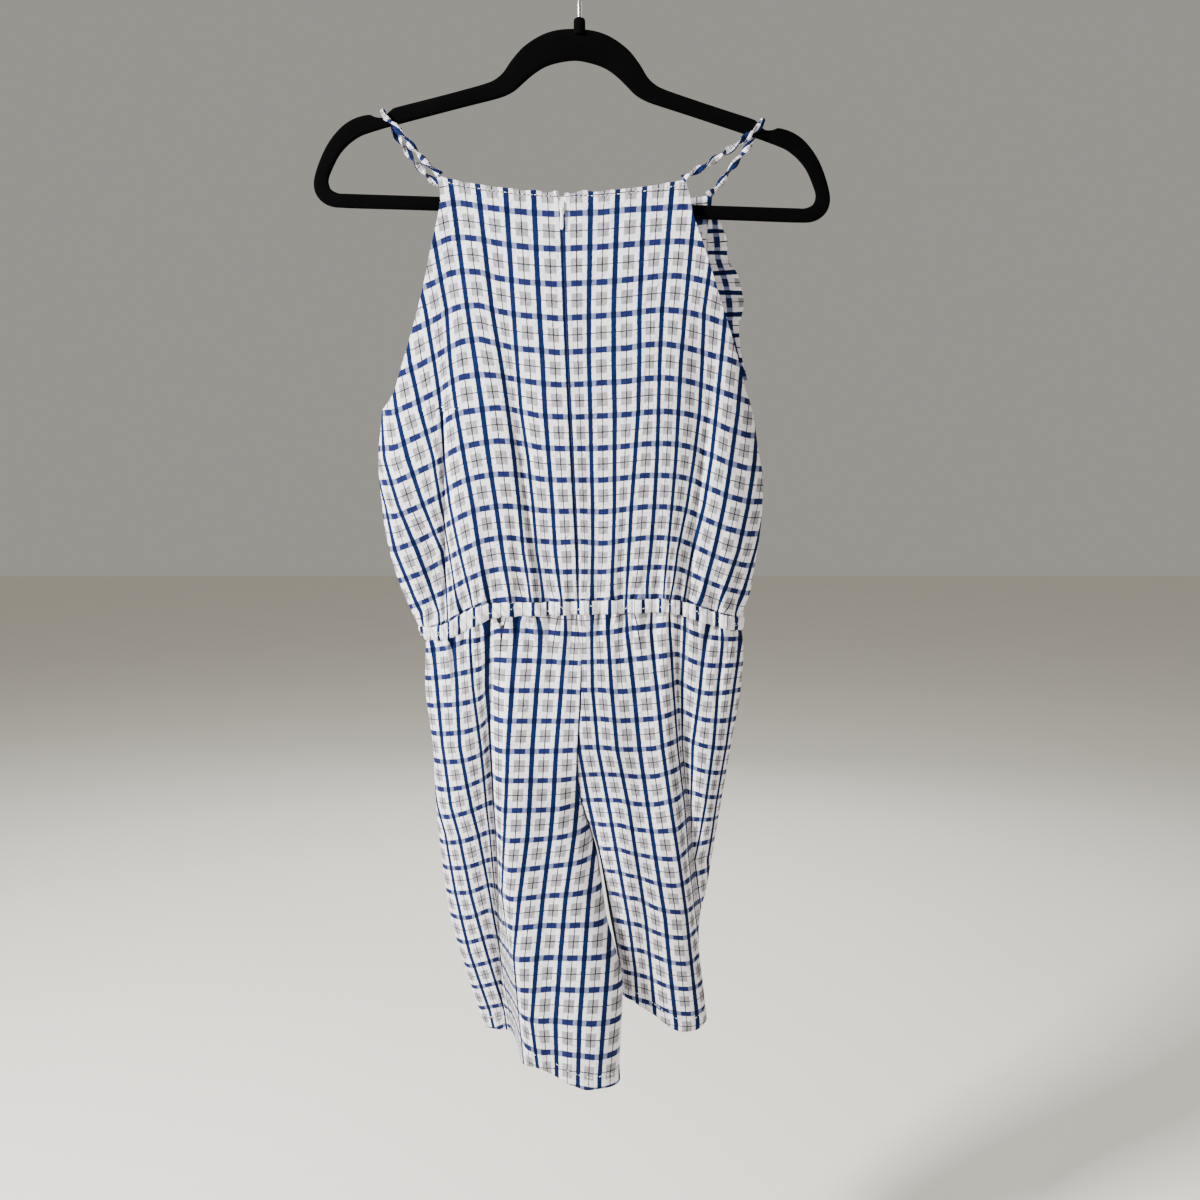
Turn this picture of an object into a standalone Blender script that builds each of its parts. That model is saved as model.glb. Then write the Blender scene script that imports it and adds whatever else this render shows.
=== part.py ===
"""A strappy check playsuit on a slim flocked clothes hanger, seen from its back at -Y.

The origin is the inner top of the hanger's hook, where the hanger bears on a rail or a nail.
X runs to the right as seen from the garment's back, +Y towards its front and +Z up.
Sizes are in millimetres and become metres where a mesh is made.
"""

import math

import bmesh
import bpy
from mathutils import Matrix, Vector

MM = 0.001

# Driving sizes of the cloth
WALL = 1.2
SEAM_GAP = 0.3
CASING_GAP = 0.5
ROUNDNESS = 2.4
CASING_HEIGHT = 11.0
CASING_WALL = 2.2
CASING_PUFFS = 28
CROTCH_Z = -790.0
CROTCH_TURN = 100.0
GATHER_HEIGHT = 1.7
GATHER_REACH = 30.0
GATHER_PITCH = 24.0
GATHER_DRIFT = 31.0
GATHER_UNEVEN = 0.9
FOLD_END = 55.0
FOLD_START_SHARE = 0.12
CASING_SWELL = 0.55
TANGENT_STEP = 0.003
CHECK_CLOTH = (0.72, 0.76, 0.86)

# Folds and gathers die out towards the sides, from this cosine of the angle round the oval,
# and towards the centre seam and the inseam over these shares of a leg panel's width
SIDE_FADE = 0.62
SEAM_FADE = 0.2
INSEAM_FADE = 0.5

# How finely the cloth panels are made: rows, columns, and how much closer rows lie at the gathered waist
BODICE_ROWS = 15
BACK_HALF_COLUMNS = 20
FRONT_COLUMNS = 33
LEG_ROWS = 16
LEG_BACK_COLUMNS = 18
LEG_FRONT_COLUMNS = 15
ROW_CROWDING = 1.35
RUFFLE_ROWS = 38
RUFFLE_COLUMNS = 4

# A panel's point is found in a few steps from a first guess between these heights
SETTLE_STEPS = 6
BODICE_GUESS = (-200.0, -580.0)
LEG_GUESS = (-590.0, -940.0)

# Driving sizes of the hanger
HANGER_TILT = math.radians(1.8)
HANGER_THICK = 5.0
HOOK_WIRE = 3.4
HOOK_INNER_RADIUS = 20.0
COLLAR_RADIUS = 5.0
COLLAR_TOP = -67.0
COLLAR_BOTTOM = -80.0
COLLAR_BORE_DEPTH = 8.0
HANGER_FLOCK = (0.012, 0.012, 0.013)

# The hook's shank and the bend into its loop, as x and z, then the loop's first and last angle
HOOK_SHANK = ((0, -74.6), (0, -62), (0, -53), (2.2, -47.5), (8.5, -42.0))
HOOK_LOOP_START = math.radians(-48)
HOOK_LOOP_END = math.radians(205)
HOOK_LOOP_STEPS = 16
HOOK_SIDES = 8

# Driving sizes of the straps and the zip
STRAP_WIDTH = 6.4
STRAP_THICK = 2.6
STRAP_BUNCHED = 4.2
STRAP_HALF_TURN = 17.0
STRAP_REST = 9.0
STRAP_STATIONS = 46
STRAP_SIDES = 6
ZIP_BOTTOM = -560.0
ZIP_THICK = 0.8
ZIP_CLEARANCE = 0.1
TAPE_SHORTER = 0.12
NOTCH_BOTTOM = -235.0
NOTCH_WIDE_Z = -230.0
NOTCH_TOP_Z = -212.0
NOTCH_HALF_AT_SLIDER = 2.7
NOTCH_HALF_TOP = 5.0
SLIDER_TOP = -221.5
SLIDER_BOTTOM = -229.5
SLIDER_HALF_WIDTH = 2.0
EAR_WALL = 0.5
PULL_AXIS_Z = -228.0
PULL_LENGTH = 19.0
PULL_STAND = 2.0
PULL_HEAD_RADIUS = 0.8
PULL_HEAD_HALF_WIDTH = 1.1
RUNNING_GAP = 0.35

# The closed bodice: side to side, and how far its back and its front stand off the hanger's plane.
# Above the underarm the sides are the sides that the oval would have if it were whole.
BODICE = (
    ("z", "left", "right", "back", "front"),
    (
        (-200, -174, 147, 9.0, 10.0),
        (-230, -174, 147, 13.0, 13.0),
        (-265, -174, 147, 20.5, 18.0),
        (-315, -174, 147, 29.0, 24.0),
        (-382, -174, 147, 36.0, 30.0),
        (-403, -174, 152, 38.0, 31.5),
        (-434, -177, 157, 39.5, 33.0),
        (-455, -177, 161, 40.0, 33.0),
        (-478, -175, 161, 39.5, 32.5),
        (-505, -172, 159, 37.5, 31.0),
        (-532, -166, 155, 34.0, 29.0),
        (-557, -158, 151, 30.0, 27.0),
        (-573, -151, 146, 28.0, 26.0),
        (-597, -139, 142, 27.0, 26.0),
    ),
)

# The free edges beside the armholes. Under the armhole an edge lies past the side, and the side rules.
BACK_EDGE = (
    ("z", "left", "right"),
    (
        (-200, -122, 90),
        (-212, -119.5, 93.5),
        (-232, -121, 97.5),
        (-256, -126, 105.5),
        (-283, -131, 114),
        (-309, -137, 122),
        (-336, -144.5, 131),
        (-366, -154.5, 140),
        (-388, -163, 147.5),
        (-403, -178, 160),
        (-425, -215, 200),
    ),
)
FRONT_EDGE = (
    ("z", "left", "right"),
    (
        (-205, -120, 115),
        (-217, -119, 115),
        (-240, -118, 111),
        (-265, -121, 112),
        (-290, -126, 116),
        (-315, -134, 122),
        (-340, -144, 130),
        (-366, -157, 141),
        (-388, -167, 147.5),
        (-403, -178, 160),
        (-425, -215, 200),
    ),
)

# The legs: each leg's oval below the crotch, from its outer side to its inseam.
# The y columns are where its two ends lie, the depths how far its back and front stand off between them.
LEFT_LEG = (
    ("z", "outer", "inner", "y_outer", "y_inner", "back", "front"),
    (
        (-577, -139, 0, 0, -4, 28, 26),
        (-600, -138, 0, 0, -4, 29, 27),
        (-640, -139, 1, 0, -4, 33, 29),
        (-700, -132.5, -2, 0, -4, 37, 30),
        (-740, -131, 0, 0, -5, 38, 30),
        (-790, -127, 15, -1, -6, 36, 28),
        (-830, -122, 21, -2, -10, 35, 26),
        (-850, -119, 24, -2, -13, 35, 25),
        (-878, -112, 32, -3, -18, 34, 24),
        (-901, -105, 38, -4, -21, 33, 23),
        (-924, -98, 38.5, -5, -22, 32, 22),
        (-955, -88, 37, -6, -23, 31, 20),
        (-1000, -86, 35, -7, -24, 29, 18),
    ),
)
RIGHT_LEG = (
    ("z", "outer", "inner", "y_outer", "y_inner", "back", "front"),
    (
        (-577, 141, 0, 0, -4, 28, 26),
        (-600, 145, 0, 0, -4, 29, 27),
        (-640, 144, 1, 0, -4, 33, 29),
        (-700, 134.5, -2, 0, -4, 36, 30),
        (-740, 128, 0, 0, -5, 36, 30),
        (-790, 120, 15, 0, -6, 34, 28),
        (-830, 114, 22, 1, -1, 31, 27),
        (-850, 109.5, 25, 2, 2, 30, 27),
        (-878, 108, 30, 3, 6, 28, 26),
        (-901, 110, 34, 4, 8, 27, 25),
        (-924, 113, 37, 5, 9, 26, 24),
        (-960, 116, 40, 6, 9, 24, 22),
    ),
)

# The waist seam: the height of its middle, and how far its two ends drop
WAIST_SEAM = {
    "back": {"middle_z": -574.5, "drop_left": 20.5, "drop_right": 19.5},
    "front": {"middle_z": -579.0, "drop_left": 16.0, "drop_right": 15.0},
}
WAIST_SLOPE = 4.0

# The top edges of the bodice panels dip between their corners
NECK = {
    "back": {"corner_z": -201.0, "dip": 12.5, "middle_x": -16.0, "half_width": 106.0, "slope": 0.015},
    "front": {"corner_z": -208.5, "dip": 7.5, "middle_x": -2.0, "half_width": 119.0, "slope": 0.02},
}

# The hems: the height at a leg's left end, then each drop and the stretch of the oval where it falls
HEM = {
    "back_left": (-952.0, ((24.0, -0.62, -0.40), (20.0, -0.40, 0.60))),
    "front_left": (-952.0, ((44.0, -1.0, 1.0),)),
    "back_right": (-930.0, ((28.0, -1.0, 0.5), (-5.0, 0.7, 1.0))),
    "front_right": (-930.0, ((23.0, -1.0, 1.0),)),
}

# The centre seam of the bodice and of the shorts, down to the crotch
CENTRE_SEAM = (
    ("z", "x"),
    (
        (-200, -16),
        (-261, -14),
        (-315, -12),
        (-382, -9),
        (-459, -5),
        (-527, -1.5),
        (-577, -2),
        (-614, 1.5),
        (-653, 1),
        (-700, -2),
        (-735, 0),
        (-771, 9),
        (-790, 15),
    ),
)

# The largest folds. Each is a trough along a line, with its depth and its reach to either side.
FOLD_COLUMNS = ("x_top", "z_top", "x_end", "z_end", "depth_top", "depth_end", "reach_left", "reach_right")
BACK_BODICE_FOLDS = (
    (-121, -350, -114, -600, 2, 13, 26, 9),
    (-82, -240, -26, -600, 1, 5.5, 5, 24),
    (20, -290, 12, -600, 0.5, 3, 16, 14),
    (114, -320, 92, -600, 3, 9, 20, 12),
    (52, -430, 40, -600, 0.5, 2.5, 10, 12),
)
FRONT_BODICE_FOLDS = (
    (-96, -300, -88, -600, 2, 10, 18, 12),
    (-30, -270, -38, -600, 1, 4, 14, 20),
    (36, -320, 30, -600, 1, 4, 18, 12),
    (92, -310, 98, -600, 2, 9, 12, 20),
)
BACK_LEG_FOLDS = (
    (-75, -560, -78, -735, 5, 12, 18, 8),
    (-78, -735, -57, -1000, 12, 14, 20, 7),
    (-34, -560, -22, -1020, 3, 3.5, 16, 12),
    (84, -560, 90, -705, 5, 11, 8, 16),
    (90, -705, 112, -900, 11, 7, 8, 12),
    (42, -560, 66, -980, 2.5, 4, 10, 18),
)
FRONT_LEG_FOLDS = (
    (-88, -560, -70, -1000, 6, 9, 10, 16),
    (-40, -560, -20, -1000, 3, 4, 14, 12),
    (44, -560, 60, -1000, 3, 4, 12, 14),
    (90, -560, 88, -1000, 6, 8, 16, 10),
)

# The ruffle on the right front armhole: its free edge, and its wave, which runs front to back
RIGHT_RUFFLE = (
    ("z", "free", "lift"),
    (
        (-221, 118, 1.0),
        (-236, 124.5, 4.0),
        (-250, 128.5, -3.5),
        (-264, 130.5, 4.5),
        (-277, 137, -5.5),
        (-291, 143.5, 5.0),
        (-306, 144, -3.5),
        (-321, 141.5, 4.5),
        (-335, 141, -2.0),
        (-352, 144, 2.0),
        (-370, 149, 0.0),
    ),
)

# The ruffle on the left front armhole has turned inwards: its free edge, and how far it stands off the panel
LEFT_RUFFLE = (
    ("z", "free", "lift"),
    (
        (-221, -112, 1.0),
        (-236, -102, 5.0),
        (-250, -99, 1.5),
        (-264, -97, 6.0),
        (-278, -98, 2.0),
        (-292, -101, 6.5),
        (-306, -105, 2.0),
        (-320, -112, 6.0),
        (-334, -121, 1.5),
        (-350, -137, 3.0),
    ),
)
RUFFLE_WALL = 1.0

# Right half of the hanger before it tilts: outer edge and inner edge, from the arch's top to the bar's middle
HANGER_HALF = (
    (0, -75.5, 0, -101.5),
    (17, -77, 14, -103.5),
    (31, -82, 26, -107.5),
    (45, -91.5, 36, -114),
    (55, -103, 44, -121),
    (63, -114.5, 52.5, -128.5),
    (73, -121.5, 64, -134),
    (100, -130, 96, -143),
    (128, -138, 124, -151),
    (154.5, -145.5, 150, -158.5),
    (158.5, -148.5, 155, -160),
    (164, -153.6, 162, -162),
    (170.5, -153.6, 169, -164.3),
    (176, -151.8, 175.5, -166.5),
    (188, -155, 184, -170),
    (199, -162, 193, -176.5),
    (210, -175, 201, -185.5),
    (218, -191, 207, -197),
    (223, -208, 210.5, -207),
    (221.5, -219, 208.5, -214.5),
    (214, -227, 202, -218),
    (203, -230, 195, -218.3),
    (140, -230, 140, -218.3),
    (70, -230, 70, -218.3),
)

# Routes of the straps' middle lines, from the back panel's corner over the hanger's arm to the front panel's
LEFT_STRAP = (
    (-119.0, -7.8, -198.9),
    (-122.8, -8.8, -195.8),
    (-133, -9.2, -187),
    (-146, -8.0, -171.5),
    (-158, -7.0, -157.5),
    (-165.4, -5.8, -150.2),
    (-168.2, -4.4, -145.2),
    (-168.8, 0, -143.2),
    (-168.2, 4.4, -145.6),
    (-165.4, 5.6, -151),
    (-158, 8.0, -162),
    (-143, 11.6, -183),
    (-126, 12.6, -199.5),
    (-117.0, 9.2, -205.8),
)
RIGHT_STRAP = (
    (88.2, -8.0, -201.9),
    (92.6, -8.7, -199.4),
    (105, -9.0, -192.5),
    (120, -8.6, -183),
    (135, -8.0, -173),
    (147, -7.2, -163.2),
    (153.8, -5.9, -157.4),
    (156.6, -4.4, -152.8),
    (157.2, 0, -150.9),
    (156.4, 4.4, -153.6),
    (153.2, 6.0, -159.5),
    (146, 8.0, -170),
    (133, 10.0, -186),
    (119.5, 10.4, -204),
    (112.0, 8.2, -210.6),
)


def clear_scene():
    for item in list(bpy.data.objects):
        bpy.data.objects.remove(item, do_unlink=True)


def lerp(a, b, t):
    return a + (b - a) * t


def smooth(low, high, value):
    t = min(max((value - low) / (high - low), 0.0), 1.0)
    return t * t * (3.0 - 2.0 * t)


def read(table, column, z):
    """One column of a table at height z, on a smooth curve through its rows, which run downwards."""
    names, rows = table
    k = names.index(column)
    if z >= rows[0][0]:
        return rows[0][k]
    if z <= rows[-1][0]:
        return rows[-1][k]
    i = 0
    while rows[i + 1][0] > z:
        i += 1
    before = rows[max(i - 1, 0)]
    here, below = rows[i], rows[i + 1]
    after = rows[min(i + 2, len(rows) - 1)]
    step = below[0] - here[0]
    slope_here = (below[k] - before[k]) / (below[0] - before[0]) * step
    slope_below = (after[k] - here[k]) / (after[0] - here[0]) * step
    t = (z - here[0]) / step
    square, cube = t * t, t * t * t
    return (
        (2 * cube - 3 * square + 1) * here[k]
        + (cube - 2 * square + t) * slope_here
        + (3 * square - 2 * cube) * below[k]
        + (cube - square) * slope_below
    )


def side_share(angle):
    """Where an angle round the flattened oval lies from its left end at -1 to its right end at 1."""
    s = math.sin(angle)
    return math.copysign(abs(s) ** (2.0 / ROUNDNESS), s)


def side_angle(share):
    share = min(max(share, -1.0), 1.0)
    return math.copysign(math.asin(abs(share) ** (ROUNDNESS / 2.0)), share)


def stand_off(angle):
    """How far the oval stands off its middle line at an angle, as a share of its depth."""
    return max(math.cos(angle), 0.0) ** (2.0 / ROUNDNESS)


def fold_depth(folds, x, z, starts_softly):
    """Depth of all the troughs of a panel at one place. Folds that leave the waist start at full depth."""
    total = 0.0
    for row in folds:
        fold = dict(zip(FOLD_COLUMNS, row))
        length = fold["z_top"] - fold["z_end"]
        along = (fold["z_top"] - z) / length
        if along <= 0.0 or along > 1.0:
            continue
        x_line = lerp(fold["x_top"], fold["x_end"], along)
        reach = fold["reach_left"] if x < x_line else fold["reach_right"]
        depth = lerp(fold["depth_top"], fold["depth_end"], along)
        fade = smooth(0.0, FOLD_START_SHARE, along) if starts_softly else 1.0
        total += depth * fade * math.exp(-((x - x_line) / reach) ** 2)
    return total


def waist_z(share, is_back):
    """Height of the waist seam: its two ends hang lower than its middle."""
    seam = WAIST_SEAM["back" if is_back else "front"]
    drop_left = seam["drop_left"] * smooth(0.48, 0.92, -share)
    drop_right = seam["drop_right"] * smooth(0.48, 1.0, share)
    return seam["middle_z"] + WAIST_SLOPE * share - drop_left - drop_right


def body_oval(z):
    left, right = read(BODICE, "left", z), read(BODICE, "right", z)
    return (left + right) / 2.0, (right - left) / 2.0


def gather_wave(position, distance):
    """Small uneven waves that run out of the gathered waist and fade away from it."""
    fade = math.exp(-max(distance, 0.0) / GATHER_REACH)
    drift = GATHER_UNEVEN * math.sin(position / GATHER_DRIFT)
    return GATHER_HEIGHT * fade * math.sin(2 * math.pi * position / GATHER_PITCH + drift)


def neck_z(x, is_back):
    """Top edge of the bodice panels: it dips between its corners."""
    neck = NECK["back" if is_back else "front"]
    across = x - neck["middle_x"]
    dip = neck["dip"] * (1.0 - (across / neck["half_width"]) ** 2)
    return neck["corner_z"] - dip - neck["slope"] * across


def centre_gap(z):
    """Half the gap between the two back halves: a V above the zip's slider, then the seam's gap."""
    if z > SLIDER_TOP:
        return lerp(NOTCH_HALF_AT_SLIDER, NOTCH_HALF_TOP, smooth(SLIDER_TOP, NOTCH_TOP_Z, z))
    if z > NOTCH_BOTTOM:
        return lerp(SEAM_GAP / 2, NOTCH_HALF_AT_SLIDER, smooth(NOTCH_BOTTOM, NOTCH_WIDE_Z, z))
    return SEAM_GAP / 2


def bodice_surface(is_back, angle, z):
    """A point of the bodice's middle surface, with its folds and gathers."""
    middle, half = body_oval(z)
    x = middle + half * side_share(angle)
    depth = read(BODICE, "back" if is_back else "front", z)
    window = smooth(0.0, SIDE_FADE, math.cos(angle))
    folds = BACK_BODICE_FOLDS if is_back else FRONT_BODICE_FOLDS
    inwards = fold_depth(folds, x, z, True) * window
    distance = z - waist_z(side_share(angle), is_back)
    inwards *= smooth(CASING_HEIGHT, FOLD_END, distance)
    off = depth * stand_off(angle) - inwards + window * gather_wave(x, distance)
    gap = SEAM_GAP / 2
    y = -off - gap if is_back else off + gap
    return Vector((x, y, z))


def bodice_point(is_back, side, s, w):
    """Middle-surface point of a bodice panel: s runs from its outer edge across it, w downwards."""
    edge_table = BACK_EDGE if is_back else FRONT_EDGE
    z = lerp(*BODICE_GUESS, w)
    for _ in range(SETTLE_STEPS):
        middle, half = body_oval(z)
        ends = {}
        for name in ("left", "right"):
            share = (read(edge_table, name, z) - middle) / half
            ends[name] = side_angle(share)
        if is_back:
            if side == "left":
                inner = (read(CENTRE_SEAM, "x", z) - centre_gap(z) - middle) / half
                angle = lerp(ends["left"], side_angle(inner), s)
            else:
                inner = (read(CENTRE_SEAM, "x", z) + centre_gap(z) - middle) / half
                angle = lerp(ends["right"], side_angle(inner), s)
        else:
            angle = lerp(ends["left"], ends["right"], s)
        share = side_share(angle)
        top = neck_z(middle + half * share, is_back)
        bottom = waist_z(share, is_back) + CASING_HEIGHT + CASING_GAP
        z = lerp(top, bottom, w)
    return bodice_surface(is_back, angle, z)


def hem_z(side, is_back, share):
    """Height of a leg's hem, round the leg from its left end at -1 to its right end at 1."""
    z, drops = HEM[("back_" if is_back else "front_") + side]
    for drop, start, end in drops:
        z -= drop * smooth(start, end, share)
    return z


def leg_point(side, is_back, s, w):
    """Middle-surface point of a leg panel: s runs from the outer side to the centre seam, w downwards."""
    table = LEFT_LEG if side == "left" else RIGHT_LEG
    sign = -1.0 if side == "left" else 1.0
    name = "back" if is_back else "front"
    outwards = -1.0 if is_back else 1.0
    z = lerp(*LEG_GUESS, w)
    for _ in range(SETTLE_STEPS):
        closing = smooth(CROTCH_Z + CROTCH_TURN, CROTCH_Z, z)
        outer = read(table, "outer", z)
        # Above the crotch the panel is part of one oval round both legs
        left, right = read(LEFT_LEG, "outer", z), read(RIGHT_LEG, "outer", z)
        middle, half = (left + right) / 2, (right - left) / 2
        seam_x = read(CENTRE_SEAM, "x", z) + sign * SEAM_GAP / 2
        whole_angle = lerp(sign * math.pi / 2, side_angle((seam_x - middle) / half), s)
        whole_share = side_share(whole_angle)
        depth = read(table, name, z)
        whole = Vector((middle + half * whole_share, outwards * depth * stand_off(whole_angle), z))
        # Below the crotch it is half of the leg's own oval
        parted = (WALL / 2 + SEAM_GAP) * (1.0 - (1.0 - closing) ** 3)
        inner = read(table, "inner", z) + sign * parted
        leg_angle = lerp(sign * math.pi / 2, -sign * math.pi / 2, s)
        leg_share = side_share(leg_angle)
        leg_middle, leg_half = (outer + inner) / 2, abs(outer - inner) / 2
        along = (leg_share * sign * -1.0 + 1.0) / 2
        line_y = lerp(read(table, "y_outer", z), read(table, "y_inner", z), along)
        own = Vector((leg_middle + leg_half * leg_share, line_y + outwards * depth * stand_off(leg_angle), z))
        point = whole.lerp(own, closing)
        top = waist_z(lerp(whole_share, leg_share, closing), is_back) - CASING_GAP
        z = lerp(top, hem_z(side, is_back, leg_share), w)
    window = smooth(0.0, SIDE_FADE, math.cos(lerp(whole_angle, leg_angle, closing)))
    seam_window = smooth(0.0, SEAM_FADE, 1.0 - s) * lerp(1.0, smooth(0.0, INSEAM_FADE, 1.0 - s), closing)
    folds = BACK_LEG_FOLDS if is_back else FRONT_LEG_FOLDS
    inwards = fold_depth(folds, point.x, z, False) * window * seam_window
    distance = waist_z(whole_share, is_back) - z
    inwards *= smooth(0.0, FOLD_END, distance)
    lift = window * gather_wave(point.x, distance)
    y = point.y + outwards * (lift - inwards + SEAM_GAP / 2)
    return Vector((point.x, y, z))


def new_object(name, mesh, colour, roughness, metallic=0.0):
    material = bpy.data.materials.new(name)
    material.use_nodes = True
    shader = material.node_tree.nodes["Principled BSDF"]
    shader.inputs["Base Color"].default_value = (*colour, 1.0)
    shader.inputs["Roughness"].default_value = roughness
    shader.inputs["Metallic"].default_value = metallic
    material.diffuse_color = (*colour, 1.0)
    mesh.materials.append(material)
    thing = bpy.data.objects.new(name, mesh)
    bpy.context.collection.objects.link(thing)
    return thing


def finish_mesh(name, grid_mesh, colour, roughness, metallic=0.0, sharp_degrees=40.0):
    bmesh.ops.recalc_face_normals(grid_mesh, faces=grid_mesh.faces)
    bmesh.ops.triangulate(grid_mesh, faces=grid_mesh.faces)
    mesh = bpy.data.meshes.new(name)
    grid_mesh.to_mesh(mesh)
    grid_mesh.free()
    mesh.shade_smooth()
    mesh.set_sharp_from_angle(angle=math.radians(sharp_degrees))
    return new_object(name, mesh, colour, roughness, metallic)


def grid_normals(points):
    """Normals of a grid of points. Along its first and last row they lie level, so seams keep their gap."""
    rows, columns = len(points), len(points[0])
    normals = []
    for i in range(rows):
        line = []
        for j in range(columns):
            down = points[min(i + 1, rows - 1)][j] - points[max(i - 1, 0)][j]
            across = points[i][min(j + 1, columns - 1)] - points[i][max(j - 1, 0)]
            normal = across.cross(down)
            if i in (0, rows - 1):
                normal.z = 0.0
            line.append(normal.normalized())
        normals.append(line)
    return normals


def thick_sheet(name, points, wall, colour, roughness=0.9):
    """A closed solid wall round a grid of middle-surface points in millimetres."""
    rows, columns = len(points), len(points[0])
    normals = grid_normals(points)
    shape = bmesh.new()
    layers = []
    for side in (0.5, -0.5):
        layer = []
        for i in range(rows):
            line = []
            for j in range(columns):
                place = points[i][j] + normals[i][j] * (wall * side)
                line.append(shape.verts.new(place * MM))
            layer.append(line)
        layers.append(layer)
    front, back = layers
    for i in range(rows - 1):
        for j in range(columns - 1):
            shape.faces.new((front[i][j], front[i][j + 1], front[i + 1][j + 1], front[i + 1][j]))
            shape.faces.new((back[i][j], back[i + 1][j], back[i + 1][j + 1], back[i][j + 1]))
    for j in range(columns - 1):
        shape.faces.new((front[0][j + 1], front[0][j], back[0][j], back[0][j + 1]))
        shape.faces.new((front[-1][j], front[-1][j + 1], back[-1][j + 1], back[-1][j]))
    for i in range(rows - 1):
        shape.faces.new((front[i][0], front[i + 1][0], back[i + 1][0], back[i][0]))
        shape.faces.new((front[i + 1][-1], front[i][-1], back[i][-1], back[i + 1][-1]))
    return finish_mesh(name, shape, colour, roughness)


def sheet_rows(count, denser_end):
    """Row positions from 0 to 1, closer together towards the gathered end."""
    rows = [(i / (count - 1)) ** ROW_CROWDING for i in range(count)]
    if denser_end == "bottom":
        rows = [1.0 - row for row in reversed(rows)]
    return rows


def back_bodice_grid(side):
    """Middle-surface points of one back half, from its outer edge to the zip."""
    across = [j / (BACK_HALF_COLUMNS - 1) for j in range(BACK_HALF_COLUMNS)]
    return [[bodice_point(True, side, s, w) for s in across] for w in sheet_rows(BODICE_ROWS, "bottom")]


def front_bodice_grid():
    """Middle-surface points of the front bodice, from its left edge to its right edge."""
    across = [j / (FRONT_COLUMNS - 1) for j in range(FRONT_COLUMNS)]
    return [[bodice_point(False, "both", s, w) for s in across] for w in sheet_rows(BODICE_ROWS, "bottom")]


def along_edge(line, z):
    """The point at height z on a line of points that run downwards."""
    for above, below in zip(line, line[1:]):
        if below.z <= z:
            return above.lerp(below, (above.z - z) / (above.z - below.z))
    return line[-1]


def build_bodice():
    for side in ("left", "right"):
        thick_sheet("back_bodice_" + side, back_bodice_grid(side), WALL, CHECK_CLOTH)
    thick_sheet("front_bodice", front_bodice_grid(), WALL, CHECK_CLOTH)


def build_legs():
    down = sheet_rows(LEG_ROWS, "top")
    for side in ("left", "right"):
        for is_back in (True, False):
            count = LEG_BACK_COLUMNS if is_back else LEG_FRONT_COLUMNS
            points = [[leg_point(side, is_back, j / (count - 1), w) for j in range(count)] for w in down]
            thick_sheet(("back_leg_" if is_back else "front_leg_") + side, points, WALL, CHECK_CLOTH)


def leg_top(is_back, angle, z):
    """The legs' middle surface at the waist seam."""
    left, right = read(LEFT_LEG, "outer", z), read(RIGHT_LEG, "outer", z)
    x = (left + right) / 2 + (right - left) / 2 * side_share(angle)
    window = smooth(0.0, SIDE_FADE, math.cos(angle))
    off = read(LEFT_LEG, "back" if is_back else "front", z) * stand_off(angle) + window * gather_wave(x, 0.0)
    return Vector((x, -off if is_back else off, z))


def casing_point(turn, height):
    """A point of the casing's middle line: turn runs once round, the back first, from the left side."""
    is_back = turn < 0.5
    angle = lerp(-math.pi / 2, math.pi / 2, turn * 2 if is_back else 2 - turn * 2)
    z = waist_z(side_share(angle), is_back)
    low = leg_top(is_back, angle, z - CASING_GAP)
    high = bodice_surface(is_back, angle, z + CASING_HEIGHT + CASING_GAP)
    place = low.lerp(high, height)
    place.z = z + CASING_HEIGHT * height
    return place


def build_waist_casing():
    """The elastic's casing, one ring of soft puffs just above the waist seam."""
    count = CASING_PUFFS * 4
    # Height share and outward share of each corner of the ring's section
    section = ((0.0, 0.35), (0.5, 0.62), (1.0, 0.35), (1.0, -0.35), (0.0, -0.35))
    shape = bmesh.new()
    rings = []
    for k in range(count):
        turn = k / count
        puff = 0.5 + 0.5 * math.cos(2 * math.pi * CASING_PUFFS * turn)
        ring = []
        for height, out in section:
            tangent = casing_point((turn + TANGENT_STEP) % 1.0, height)
            tangent -= casing_point((turn - TANGENT_STEP) % 1.0, height)
            outwards = Vector((tangent.y, -tangent.x, 0.0)).normalized()
            swell = CASING_WALL * out * (1.0 + CASING_SWELL * puff if out > 0.5 else 1.0)
            ring.append(shape.verts.new((casing_point(turn, height) + outwards * swell) * MM))
        rings.append(ring)
    for k in range(count):
        ring, following = rings[k], rings[(k + 1) % count]
        for c in range(len(section)):
            d = (c + 1) % len(section)
            shape.faces.new((ring[c], ring[d], following[d], following[c]))
    finish_mesh("waist_casing", shape, CHECK_CLOTH, 0.9)


def front_skin(x, z, lift):
    """A point that stands off the front panel's middle surface, square to it."""
    middle, half = body_oval(z)
    angle = side_angle((x - middle) / half)
    here = bodice_surface(False, angle, z)
    across = bodice_surface(False, angle + 0.01, z) - bodice_surface(False, angle - 0.01, z)
    return here + Vector((-across.y, across.x, 0.0)).normalized() * lift


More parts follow.
